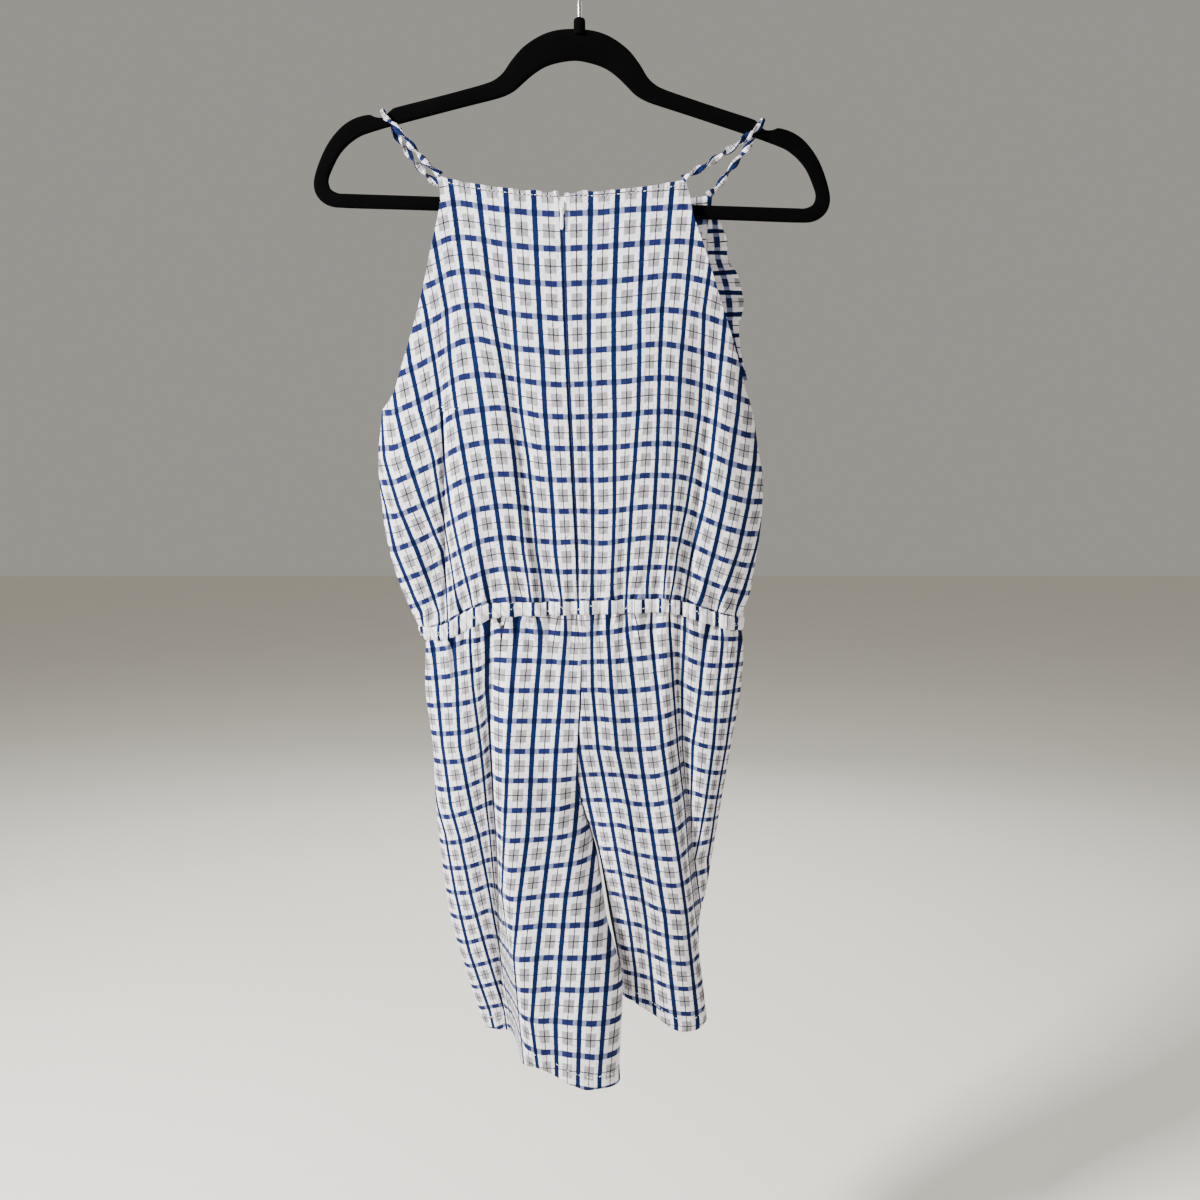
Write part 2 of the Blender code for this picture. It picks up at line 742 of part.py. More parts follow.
def build_ruffle(side, table):
    """A gathered strip sewn to the front armhole's edge: it waves more the further it is from the seam."""
    rows, columns = RUFFLE_ROWS, RUFFLE_COLUMNS
    z_top, z_end = table[1][0][0], table[1][-1][0]
    edge_line = [row[-1 if side == "right" else 0] for row in front_bodice_grid()]
    points = []
    for i in range(rows):
        z = lerp(z_top, z_end, i / (rows - 1))
        free, lift = read(table, "free", z), read(table, "lift", z)
        seam = along_edge(edge_line, z)
        line = []
        for j in range(columns):
            across = j / (columns - 1)
            if side == "right":
                out = lerp(SEAM_GAP + 0.4, free - seam.x, across)
                line.append(seam + Vector((out, lift * across ** 1.3 - 2.0 * across, 0.0)))
            else:
                stand = WALL / 2 + SEAM_GAP + RUFFLE_WALL / 2 + 0.2
                x = lerp(seam.x + 0.6, free, across)
                line.append(front_skin(x, z, stand + (lift + 1.5) * across ** 0.8))
        points.append(line)
    thick_sheet("ruffle_" + side, points, RUFFLE_WALL, CHECK_CLOTH)


def curve_through(points, count):
    """Points at even steps along a smooth curve through a route."""
    fine = []
    for i in range(len(points) - 1):
        p0 = Vector(points[max(i - 1, 0)])
        p1, p2 = Vector(points[i]), Vector(points[i + 1])
        p3 = Vector(points[min(i + 2, len(points) - 1)])
        for k in range(12):
            t = k / 12
            fine.append(0.5 * (2 * p1 + (p2 - p0) * t + (2 * p0 - 5 * p1 + 4 * p2 - p3) * t * t
                               + (3 * p1 - p0 - 3 * p2 + p3) * t ** 3))
    fine.append(Vector(points[-1]))
    lengths = [0.0]
    for a, b in zip(fine, fine[1:]):
        lengths.append(lengths[-1] + (b - a).length)
    out = []
    k = 0
    for i in range(count):
        goal = lengths[-1] * i / (count - 1)
        while k < len(fine) - 2 and lengths[k + 1] < goal:
            k += 1
        share = (goal - lengths[k]) / max(lengths[k + 1] - lengths[k], 1e-9)
        out.append(fine[k].lerp(fine[k + 1], min(share, 1.0)))
    return out, lengths[-1]


def strap_frame(tangent):
    """The strap's broad direction: flat to the viewer on its way, along the hanger's arm on top of it."""
    side = Vector((abs(tangent.z), 0.0, -math.copysign(tangent.x, tangent.x * tangent.z)))
    side += Vector((1.0, 0.0, 0.0)) * abs(tangent.y)
    side -= tangent * side.dot(tangent)
    return side.normalized()


def build_strap(name, route):
    """A narrow tube of cloth, pressed flat, twisted on its way and bunched where it crosses the arm."""
    path, length = curve_through(route, STRAP_STATIONS)
    crossing = max(range(STRAP_STATIONS), key=lambda i: path[i].z)
    shape = bmesh.new()
    rings = []
    for i, place in enumerate(path):
        tangent = (path[min(i + 1, STRAP_STATIONS - 1)] - path[max(i - 1, 0)]).normalized()
        if i in (0, STRAP_STATIONS - 1):
            tangent = Vector((0.0, 0.0, 1.0 if i == 0 else -1.0))
        side = strap_frame(tangent)
        other = tangent.cross(side)
        step = length / (STRAP_STATIONS - 1)
        span = (crossing if i <= crossing else STRAP_STATIONS - 1 - crossing) * step
        from_crossing = abs(i - crossing) * step
        # Half turns are whole numbers, so that the strap lies flat where it is sewn and on the arm
        half_turns = round((span - STRAP_REST) / STRAP_HALF_TURN)
        twist = math.pi * half_turns * min(max((from_crossing - STRAP_REST) / (span - STRAP_REST), 0.0), 1.0)
        bunch = 1.0 - smooth(STRAP_REST * 0.6, STRAP_REST * 1.8, from_crossing)
        half_width = lerp(STRAP_WIDTH / 2, STRAP_BUNCHED / 2, bunch)
        half_thick = lerp(STRAP_THICK / 2, STRAP_BUNCHED / 2 - 0.4, bunch)
        ring = []
        for k in range(STRAP_SIDES):
            angle = 2 * math.pi * k / STRAP_SIDES
            a, b = half_width * math.cos(angle), half_thick * math.sin(angle)
            across = side * (a * math.cos(twist) - b * math.sin(twist))
            off = other * (a * math.sin(twist) + b * math.cos(twist))
            ring.append(shape.verts.new((place + across + off) * MM))
        rings.append(ring)
    for ring, following in zip(rings, rings[1:]):
        for k in range(STRAP_SIDES):
            m = (k + 1) % STRAP_SIDES
            shape.faces.new((ring[k], ring[m], following[m], following[k]))
    shape.faces.new(rings[0])
    shape.faces.new(rings[-1])
    finish_mesh(name, shape, CHECK_CLOTH, 0.9)


def hanger_stations():
    """Outer and inner edge points all round the hanger, before it tilts."""
    right = list(HANGER_HALF)
    left = [(-row[0], row[1], -row[2], row[3]) for row in reversed(HANGER_HALF[1:])]
    bottom = [(0, -230.0, 0, -218.3)]
    return right + bottom + left


def build_hanger_frame():
    """The flat body of the hanger with rounded edges, and the collar that takes the hook."""
    # Share of the way from the outer to the inner edge, and share of the half thickness
    section = (
        (0.0, 0.55), (0.09, 1.0), (0.91, 1.0), (1.0, 0.55),
        (1.0, -0.55), (0.91, -1.0), (0.09, -1.0), (0.0, -0.55),
    )
    tilt = Matrix.Rotation(HANGER_TILT, 3, "Y")
    shape = bmesh.new()
    rings = []
    for outer_x, outer_z, inner_x, inner_z in hanger_stations():
        ring = []
        for across, out in section:
            x, z = lerp(outer_x, inner_x, across), lerp(outer_z, inner_z, across)
            ring.append(shape.verts.new((tilt @ Vector((x, out * HANGER_THICK / 2, z))) * MM))
        rings.append(ring)
    for k, ring in enumerate(rings):
        following = rings[(k + 1) % len(rings)]
        for c in range(len(section)):
            d = (c + 1) % len(section)
            shape.faces.new((ring[c], ring[d], following[d], following[c]))
    frame = finish_mesh("hanger_frame", shape, HANGER_FLOCK, 0.95)
    collar = build_collar()
    join = frame.modifiers.new("collar", "BOOLEAN")
    join.operation = "UNION"
    join.object = collar


def build_collar():
    """A turned collar with a blind hole for the hook's shank."""
    bore = HOOK_WIRE / 2 + 0.3
    profile = (
        (0.0, COLLAR_TOP - COLLAR_BORE_DEPTH), (bore, COLLAR_TOP - COLLAR_BORE_DEPTH),
        (bore, COLLAR_TOP), (COLLAR_RADIUS - 1.4, COLLAR_TOP),
        (COLLAR_RADIUS, COLLAR_TOP - 1.6), (COLLAR_RADIUS, COLLAR_BOTTOM), (0.0, COLLAR_BOTTOM),
    )
    shape = bmesh.new()
    ring = [shape.verts.new(Vector((r, 0.0, z)) * MM) for r, z in profile]
    edges = [shape.edges.new((a, b)) for a, b in zip(ring, ring[1:])]
    bmesh.ops.spin(shape, geom=ring + edges, cent=(0, 0, 0), axis=(0, 0, 1), angle=2 * math.pi, steps=20)
    bmesh.ops.remove_doubles(shape, verts=shape.verts, dist=0.00001)
    bmesh.ops.recalc_face_normals(shape, faces=shape.faces)
    return add_tool("collar_tool", shape)


def build_hook():
    """A round wire hook: a straight shank, a bend outwards and a three-quarter loop over the origin."""
    radius = HOOK_INNER_RADIUS + HOOK_WIRE / 2
    centre_z = -HOOK_INNER_RADIUS
    route = [Vector((x, 0, z)) for x, z in HOOK_SHANK]
    for k in range(HOOK_LOOP_STEPS + 1):
        angle = lerp(HOOK_LOOP_START, HOOK_LOOP_END, k / HOOK_LOOP_STEPS)
        route.append(Vector((radius * math.cos(angle), 0, centre_z + radius * math.sin(angle))))
    sides = HOOK_SIDES
    shape = bmesh.new()
    rings = []
    for i, place in enumerate(route):
        tangent = (route[min(i + 1, len(route) - 1)] - route[max(i - 1, 0)]).normalized()
        side = tangent.cross(Vector((0, 1, 0))).normalized()
        ring = []
        for k in range(sides):
            angle = 2 * math.pi * k / sides
            offset = side * math.cos(angle) + Vector((0, 1, 0)) * math.sin(angle)
            ring.append(shape.verts.new((place + offset * HOOK_WIRE / 2) * MM))
        rings.append(ring)
    for ring, following in zip(rings, rings[1:]):
        for k in range(sides):
            m = (k + 1) % sides
            shape.faces.new((ring[k], ring[m], following[m], following[k]))
    shape.faces.new(rings[0])
    shape.faces.new(rings[-1])
    finish_mesh("hanger_hook", shape, (0.62, 0.62, 0.63), 0.25, 1.0)


def build_zip_tape():
    """The zip's tapes, closed, on the inside of the back halves and made from their points."""
    stand = WALL / 2 + SEAM_GAP + ZIP_THICK / 2 + ZIP_CLEARANCE
    strips = []
    for side in ("left", "right"):
        grid = back_bodice_grid(side)
        normals = grid_normals(grid)
        inwards = 1.0 if side == "left" else -1.0
        strip = []
        for row, row_normals in zip(grid, normals):
            inside = [place + normal * inwards * stand for place, normal in zip(row, row_normals)]
            strip.append([inside[-2].lerp(inside[-3], 0.3), inside[-2], inside[-1]])
        strips.append(strip)
    points = []
    for left, right in zip(*strips):
        if left[-1].z > ZIP_BOTTOM:
            points.append(left + right[::-1])
    points[0] = [top.lerp(below, TAPE_SHORTER) for top, below in zip(points[0], points[1])]
    thick_sheet("zip_tape", points, ZIP_THICK, (0.85, 0.85, 0.86), 0.7)


def zip_line():
    """The zip's middle line on the back halves' middle surface."""
    left = [row[-1] for row in back_bodice_grid("left")]
    right = [row[-1] for row in back_bodice_grid("right")]
    return [a.lerp(b, 0.5) for a, b in zip(left, right)]


def pull_axis():
    """Centre of the pull tab's head, which is the axis of its hinge."""
    place = along_edge(zip_line(), PULL_AXIS_Z)
    return Vector((place.x, place.y - WALL / 2 - PULL_STAND, PULL_AXIS_Z))


def add_block(shape, low, high):
    """A plain block between two corners, in millimetres."""
    made = bmesh.ops.create_cube(shape, size=1.0)
    for vert in made["verts"]:
        for k in range(3):
            vert.co[k] = (low[k] if vert.co[k] < 0 else high[k]) * MM


def add_tool(name, shape):
    mesh = bpy.data.meshes.new(name)
    shape.to_mesh(mesh)
    shape.free()
    tool = bpy.data.objects.new(name, mesh)
    bpy.context.collection.objects.link(tool)
    tool.hide_render = True
    tool.display_type = "WIRE"
    return tool


def build_zip_slider():
    """The slider in the V of the two back halves, with two ears that carry the pull tab."""
    axis = pull_axis()
    line = zip_line()
    top, bottom = along_edge(line, SLIDER_TOP), along_edge(line, SLIDER_BOTTOM)
    slope = (top.y - bottom.y) / (SLIDER_TOP - SLIDER_BOTTOM)
    # The tape's outer face lies this far behind the middle surface
    back_face = WALL / 2 + SEAM_GAP + ZIP_CLEARANCE - RUNNING_GAP
    ear_root = axis.y + PULL_HEAD_RADIUS + RUNNING_GAP
    front_face = ear_root - along_edge(line, PULL_AXIS_Z).y
    shape = bmesh.new()
    add_block(shape, (top.x - SLIDER_HALF_WIDTH, front_face, SLIDER_BOTTOM),
              (top.x + SLIDER_HALF_WIDTH, back_face, SLIDER_TOP))
    corners = [edge for edge in shape.edges if abs(edge.verts[0].co.y - edge.verts[1].co.y) > 0.0001]
    bmesh.ops.bevel(shape, geom=corners, offset=0.9 * MM, segments=2, profile=0.5, affect="EDGES")
    for vert in shape.verts:
        vert.co.y += (bottom.y + slope * (vert.co.z / MM - SLIDER_BOTTOM)) * MM
    bmesh.ops.recalc_face_normals(shape, faces=shape.faces)
    mesh = bpy.data.meshes.new("zip_slider")
    shape.to_mesh(mesh)
    shape.free()
    slider = new_object("zip_slider", mesh, (0.86, 0.86, 0.87), 0.4)
    for sign in (-1, 1):
        near = axis.x + sign * (PULL_HEAD_HALF_WIDTH + RUNNING_GAP)
        far = near + sign * EAR_WALL
        ear_shape = bmesh.new()
        add_block(ear_shape, (min(near, far), axis.y - 0.6, PULL_AXIS_Z - 0.7),
                  (max(near, far), ear_root + 0.7, PULL_AXIS_Z + 0.7))
        join = slider.modifiers.new("ear", "BOOLEAN")
        join.operation = "UNION"
        join.object = add_tool("ear_tool", ear_shape)


def build_zip_pull():
    """The flat drop-shaped tab: it hangs from its head and lies along the slope of the cloth below it."""
    axis = pull_axis()
    line = zip_line()
    slope = (along_edge(line, PULL_AXIS_Z).y - along_edge(line, PULL_AXIS_Z - PULL_LENGTH).y) / PULL_LENGTH
    # Distance down the tab, half width and half thickness
    stations = (
        (-PULL_HEAD_RADIUS, 0.75, 0.25), (-0.6, 1.0, 0.55), (0.0, PULL_HEAD_HALF_WIDTH, PULL_HEAD_RADIUS),
        (1.2, PULL_HEAD_HALF_WIDTH, 0.62), (3.0, 1.15, 0.5), (9.0, 1.35, 0.5), (14.0, 1.6, 0.5),
        (17.0, 1.5, 0.5), (18.4, 1.0, 0.45), (PULL_LENGTH - 0.1, 0.45, 0.3),
    )
    sides = 10
    shape = bmesh.new()
    rings = []
    for down, half_width, half_thick in stations:
        centre = Vector((0, -slope * max(down, 0.0), -down))
        ring = []
        for k in range(sides):
            angle = 2 * math.pi * k / sides
            off = Vector((half_width * math.cos(angle), half_thick * math.sin(angle), 0))
            ring.append(shape.verts.new((centre + off) * MM))
        rings.append(ring)
    for ring, following in zip(rings, rings[1:]):
        for k in range(sides):
            m = (k + 1) % sides
            shape.faces.new((ring[k], ring[m], following[m], following[k]))
    shape.faces.new(rings[0])
    shape.faces.new(rings[-1])
    tab = finish_mesh("zip_pull", shape, (0.88, 0.88, 0.88), 0.35)
    tab.location = axis * MM


def main():
    clear_scene()
    build_bodice()
    build_waist_casing()
    build_legs()
    build_ruffle("right", RIGHT_RUFFLE)
    build_ruffle("left", LEFT_RUFFLE)
    build_strap("strap_left", LEFT_STRAP)
    build_strap("strap_right", RIGHT_STRAP)
    build_zip_tape()
    build_zip_slider()
    build_zip_pull()
    build_hanger_frame()
    build_hook()


main()
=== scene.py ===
"""The looks of a strappy check playsuit on a slim flocked hanger, seen from its zipped back at -Y.

Each cloth panel is a thin shell on its solid's own surface, on a finer grid and with finer creases.
A panel's UV map counts repeats of the check, so the stripes lie where the cloth carries them.
Sizes are in millimetres and become metres where a mesh is made.
"""

import math

import bmesh
import bpy
import numpy as np
from mathutils import Matrix, Vector


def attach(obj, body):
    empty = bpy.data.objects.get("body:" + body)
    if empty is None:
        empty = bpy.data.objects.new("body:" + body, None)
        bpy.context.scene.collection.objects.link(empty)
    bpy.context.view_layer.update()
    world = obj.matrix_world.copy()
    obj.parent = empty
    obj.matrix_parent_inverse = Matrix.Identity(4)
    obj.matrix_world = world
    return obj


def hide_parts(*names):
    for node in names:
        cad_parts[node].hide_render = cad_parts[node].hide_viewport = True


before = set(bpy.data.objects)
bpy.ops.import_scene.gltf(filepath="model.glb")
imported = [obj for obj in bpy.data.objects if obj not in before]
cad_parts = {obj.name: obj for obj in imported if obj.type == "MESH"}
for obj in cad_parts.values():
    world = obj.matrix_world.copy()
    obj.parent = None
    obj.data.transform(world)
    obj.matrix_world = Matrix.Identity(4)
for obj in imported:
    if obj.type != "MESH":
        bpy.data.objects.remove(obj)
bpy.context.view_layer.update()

MM = 0.001

# Sizes that the solids have too
WALL = 1.2
SEAM_GAP = 0.3
CASING_GAP = 0.5
ROUNDNESS = 2.4
CASING_HEIGHT = 11.0
CASING_WALL = 2.2
CASING_PUFFS = 28
CASING_CHART_Z = -575.0
CROTCH_Z = -790.0
CROTCH_TURN = 100.0
GATHER_HEIGHT = 2.2
GATHER_REACH = 30.0
GATHER_PITCH = 24.0
GATHER_DRIFT = 31.0
GATHER_UNEVEN = 0.9
FOLD_END = 55.0
FOLD_START_SHARE = 0.12
SIDE_FADE = 0.62
SEAM_FADE = 0.2
INSEAM_FADE = 0.5
SETTLE_STEPS = 8
BODICE_GUESS = (-200.0, -580.0)
LEG_GUESS = (-590.0, -940.0)
NOTCH_BOTTOM = -235.0
NOTCH_WIDE_Z = -230.0
NOTCH_TOP_Z = -212.0
NOTCH_HALF_AT_SLIDER = 2.7
NOTCH_HALF_TOP = 5.0
SLIDER_TOP = -221.5
HANGER_TILT = math.radians(1.8)
HANGER_THICK = 5.0
HOOK_WIRE = 3.4
HOOK_INNER_RADIUS = 20.0
RUFFLE_WALL = 1.0
STRAP_HALF_TURN = 17.0
STRAP_REST = 9.0

# Sizes of the finer cloth
SHELL = 0.6
REPEAT_WIDE = 22.75
REPEAT_HIGH = 28.8
FINE_GATHER = 1.9
FINE_GATHER_PITCH = 9.4
FINE_GATHER_REACH = 22.0
TAPE_HALF = 27.0
TAPE_FADE = 9.0
TAPE_HOLD_HIGH = 130.0
CREASE_WANDER = 1.4
CREASE_BENDS = 5.0
CREASE_RISE = 0.4
CREASE_END = (1.22, 0.98)
CREASE_SEAM_FADE = 0.12
NECK_TURN = 4.0
HEM_TURN = 12.0
BAND_SOFTNESS = 3.0
STRIPE_LEAN = 0.13
STRIPE_LEAN_REACH = 13.0
STITCH = 2.4
STITCH_GAP = 1.3
THREAD = 0.32
THREAD_STAND = 0.55
STITCH_BOW = ((0.0, -0.15, 0.5), (0.25, 0.25, 1.0), (0.75, 0.25, 1.0), (1.0, -0.15, 0.5))
STRAP_WANDER = 12.0

# The camera stands where the photograph's did, square to the wall and tipped down a little
CAMERA_PLACE = (0.0175, -0.9464, -0.4817)
CAMERA_PITCH = math.radians(85.0)
CAMERA_LENS = 31.9
FLOOR_Z = -1.32
FLOOR_REACH = 12
WORLD_COLOUR = (0.96, 0.92, 0.83, 1.0)
WORLD_STRENGTH = 0.36
LAMP_AIM = (0.0, 0.0, -0.5)
# Name, place, size in metres and power in watts
LAMPS = (
    ("key", (-1.60, -1.00, 0.45), 0.30, 158.0),
    ("fill", (0.80, -1.6, -0.30), 0.5, 10.0),
    ("rear", (0.2, 1.8, 0.4), 1.6, 26.0),
    ("floor", (0.0, 1.4, 1.4), 3.0, 16.0),
)

BODICE = (
    ("z", "left", "right", "back", "front"),
    (
        (-200, -174, 147, 9.0, 10.0), (-230, -174, 147, 13.0, 13.0), (-265, -174, 147, 20.5, 18.0),
        (-315, -174, 147, 29.0, 24.0), (-382, -174, 147, 36.0, 30.0), (-403, -174, 152, 38.0, 31.5),
        (-434, -177, 157, 39.5, 33.0), (-455, -177, 161, 40.0, 33.0), (-478, -175, 161, 39.5, 32.5),
        (-505, -172, 159, 37.5, 31.0), (-532, -166, 155, 34.0, 29.0), (-557, -158, 151, 30.0, 27.0),
        (-573, -151, 146, 28.0, 26.0), (-597, -139, 142, 27.0, 26.0),
    ),
)
BACK_EDGE = (
    ("z", "left", "right"),
    (
        (-200, -122, 90), (-212, -119.5, 93.5), (-232, -121, 97.5), (-256, -126, 105.5), (-283, -131, 114),
        (-309, -137, 122), (-336, -144.5, 131), (-366, -154.5, 140), (-388, -163, 147.5), (-403, -178, 160),
        (-425, -215, 200),
    ),
)
FRONT_EDGE = (
    ("z", "left", "right"),
    (
        (-205, -120, 115), (-217, -119, 115), (-240, -118, 111), (-265, -121, 112), (-290, -126, 116),
        (-315, -134, 122), (-340, -144, 130), (-366, -157, 141), (-388, -167, 147.5), (-403, -178, 160),
        (-425, -215, 200),
    ),
)
LEFT_LEG = (
    ("z", "outer", "inner", "y_outer", "y_inner", "back", "front"),
    (
        (-577, -139, 0, 0, -4, 28, 26), (-600, -138, 0, 0, -4, 29, 27), (-640, -139, 1, 0, -4, 33, 29),
        (-700, -132.5, -2, 0, -4, 37, 30), (-740, -131, 0, 0, -5, 38, 30), (-790, -127, 15, -1, -6, 36, 28),
        (-830, -122, 21, -2, -10, 35, 26), (-850, -119, 24, -2, -13, 35, 25),
        (-878, -112, 32, -3, -18, 34, 24), (-901, -105, 38, -4, -21, 33, 23),
        (-924, -98, 38.5, -5, -22, 32, 22), (-955, -88, 37, -6, -23, 31, 20),
        (-1000, -86, 35, -7, -24, 29, 18),
    ),
)
RIGHT_LEG = (
    ("z", "outer", "inner", "y_outer", "y_inner", "back", "front"),
    (
        (-577, 141, 0, 0, -4, 28, 26), (-600, 145, 0, 0, -4, 29, 27), (-640, 144, 1, 0, -4, 33, 29),
        (-700, 134.5, -2, 0, -4, 36, 30), (-740, 128, 0, 0, -5, 36, 30), (-790, 120, 15, 0, -6, 34, 28),
        (-830, 114, 22, 1, -1, 31, 27), (-850, 109.5, 25, 2, 2, 30, 27), (-878, 108, 30, 3, 6, 28, 26),
        (-901, 110, 34, 4, 8, 27, 25), (-924, 113, 37, 5, 9, 26, 24), (-960, 116, 40, 6, 9, 24, 22),
    ),
)
WAIST_SEAM = {
    "back": {"middle_z": -574.5, "drop_left": 20.5, "drop_right": 19.5},
    "front": {"middle_z": -579.0, "drop_left": 16.0, "drop_right": 15.0},
}
WAIST_SLOPE = 4.0
NECK = {
    "back": {"corner_z": -201.0, "dip": 12.5, "middle_x": -16.0, "half_width": 106.0, "slope": 0.015},
    "front": {"corner_z": -208.5, "dip": 7.5, "middle_x": -2.0, "half_width": 119.0, "slope": 0.02},
}
HEM = {
    "back_left": (-952.0, ((24.0, -0.62, -0.40), (20.0, -0.40, 0.60))),
    "front_left": (-952.0, ((44.0, -1.0, 1.0),)),
    "back_right": (-930.0, ((28.0, -1.0, 0.5), (-5.0, 0.7, 1.0))),
    "front_right": (-930.0, ((23.0, -1.0, 1.0),)),
}
CENTRE_SEAM = (
    ("z", "x"),
    (
        (-200, -16), (-261, -14), (-315, -12), (-382, -9), (-459, -5), (-527, -1.5), (-577, -2),
        (-614, 1.5), (-653, 1), (-700, -2), (-735, 0), (-771, 9), (-790, 15),
    ),
)

# The largest folds, as the solids have them
FOLD_COLUMNS = ("x_top", "z_top", "x_end", "z_end", "depth_top", "depth_end", "reach_left", "reach_right")
BACK_BODICE_FOLDS = (
    (-121, -350, -114, -600, 2, 13, 26, 9), (-82, -240, -26, -600, 1, 5.5, 5, 24),
    (20, -290, 12, -600, 0.5, 3, 16, 14), (114, -320, 92, -600, 3, 9, 20, 12),
    (52, -430, 40, -600, 0.5, 2.5, 10, 12),
)
FRONT_BODICE_FOLDS = (
    (-96, -300, -88, -600, 2, 10, 18, 12), (-30, -270, -38, -600, 1, 4, 14, 20),
    (36, -320, 30, -600, 1, 4, 18, 12), (92, -310, 98, -600, 2, 9, 12, 20),
)
BACK_LEG_FOLDS = (
    (-75, -560, -78, -735, 5, 12, 18, 8), (-78, -735, -57, -1000, 12, 14, 20, 7),
    (-34, -560, -22, -1020, 3, 3.5, 16, 12), (84, -560, 90, -705, 5, 11, 8, 16),
    (90, -705, 112, -900, 11, 7, 8, 12), (42, -560, 66, -980, 2.5, 4, 10, 18),
)
FRONT_LEG_FOLDS = (
    (-88, -560, -70, -1000, 6, 9, 10, 16), (-40, -560, -20, -1000, 3, 4, 14, 12),
    (44, -560, 60, -1000, 3, 4, 12, 14), (90, -560, 88, -1000, 6, 8, 16, 10),
)

# Finer creases, each from its soft end to its deep one: a trough, or a ridge below zero
CREASE_COLUMNS = ("x_soft", "z_soft", "x_deep", "z_deep", "depth", "width")
BACK_BODICE_CREASES = (
    (-136, -470, -124, -582, 1.6, 5.0), (-106, -500, -97, -590, 1.7, 4.0),
    (-92, -430, -84, -588, -1.1, 6.0), (-74, -520, -70, -575, 1.5, 3.6), (-58, -470, -50, -572, 1.2, 4.5),
    (-44, -535, -41, -570, -1.2, 3.5), (-22, -505, -20, -568, 1.1, 3.2), (-6, -480, 2, -568, 0.9, 3.0),
    (9, -400, 9, -566, 1.2, 3.6), (24, -520, 22, -566, 1.4, 3.0), (38, -455, 33, -566, 1.3, 4.0),
    (58, -530, 50, -568, 1.4, 3.4), (72, -380, 66, -568, 1.3, 4.2), (88, -490, 77, -570, -1.3, 5.0),
    (103, -520, 96, -578, 1.4, 4.0), (128, -480, 113, -585, 1.5, 4.6), (143, -510, 127, -590, 1.3, 4.0),
    (-150, -420, -138, -520, 1.0, 7.0), (-64, -300, -48, -440, 0.8, 6.0), (96, -285, 104, -430, 0.9, 7.0),
    (130, -400, 146, -470, 0.8, 6.0), (-100, -225, -112, -330, 0.8, 6.0), (60, -215, 50, -300, 0.6, 6.0),
    (-50, -212, -38, -262, 0.7, 4.5), (14, -268, 22, -212, 0.6, 4.5), (-119, -345, -117, -590, 5.0, 2.2),
    (-66, -345, -42, -446, 1.3, 2.2), (-62, -370, -31, -568, 1.8, 2.0), (116, -365, 90, -580, 3.8, 2.3),
    (104, -430, 101, -520, -1.0, 5.0), (27, -500, 30, -566, 1.5, 1.8), (-34, -548, -36, -566, 1.6, 1.7),
    (50, -545, 46, -566, 1.6, 1.7), (96, -545, 92, -572, 1.6, 1.7),
)
FRONT_BODICE_CREASES = (
    (-130, -450, -120, -585, 1.5, 5.0), (-108, -500, -104, -588, 1.6, 4.0),
    (-70, -430, -66, -585, 1.2, 5.0), (-52, -520, -50, -580, 1.5, 3.6), (-14, -490, -12, -578, 1.3, 4.0),
    (8, -430, 10, -576, 1.1, 4.0), (52, -510, 48, -576, 1.5, 3.6), (70, -460, 66, -578, -1.3, 5.0),
    (118, -470, 108, -582, 1.5, 4.6), (-88, -240, -100, -340, 0.9, 7.0), (84, -240, 96, -340, 0.9, 7.0),
    (-20, -226, -10, -330, 0.8, 6.0), (30, -226, 20, -310, 0.7, 5.0),
)
BACK_LEG_CREASES = (
    (-118, -690, -124, -600, 2.2, 4.0), (-106, -650, -113, -602, 2.6, 3.2),
    (-92, -640, -90, -602, 1.6, 3.0), (-56, -680, -60, -600, 1.4, 3.6), (-44, -640, -42, -588, 1.8, 2.8),
    (-26, -650, -22, -588, 2.0, 3.0), (-8, -640, -11, -590, 1.8, 2.6), (13, -640, 12, -586, 1.8, 2.6),
    (36, -665, 30, -586, 2.0, 3.2), (52, -640, 46, -588, 1.7, 2.6), (72, -655, 62, -588, 2.0, 3.0),
    (108, -680, 108, -600, 2.0, 3.4), (122, -670, 126, -605, 2.0, 3.4), (-81, -590, -79, -735, 4.2, 2.4),
    (-66, -985, -79, -735, 4.2, 2.4), (84, -590, 91, -705, 3.8, 2.4), (106, -860, 91, -705, 3.6, 2.4),
    (6, -735, 22, -800, 1.8, 2.6), (16, -790, 34, -852, 1.6, 3.0), (40, -850, 24, -806, 1.2, 4.0),
    (2, -700, 30, -800, 1.6, 7.0), (14, -770, 46, -860, 1.5, 6.0), (50, -800, 62, -930, 1.2, 8.0),
    (-110, -780, -84, -930, 1.2, 7.0), (-46, -830, -34, -985, -1.0, 9.0), (-10, -800, 0, -985, 0.9, 8.0),
)
FRONT_LEG_CREASES = (
    (-114, -690, -118, -600, 2.0, 4.0), (-90, -660, -94, -600, 1.8, 3.2), (-60, -680, -64, -592, 2.0, 4.0),
    (-42, -640, -44, -592, 1.7, 3.0), (-22, -650, -24, -590, 1.8, 3.6), (24, -650, 20, -590, 1.9, 3.6),
    (44, -640, 42, -592, 1.7, 3.0), (70, -680, 66, -592, 1.9, 4.0), (92, -650, 94, -600, 1.8, 3.2),
    (112, -690, 118, -600, 2.0, 4.0), (-8, -720, -34, -830, 1.4, 7.0), (12, -730, 44, -840, 1.4, 7.0),
    (-60, -820, -46, -960, 1.0, 8.0), (80, -820, 84, -940, 1.0, 8.0),
)

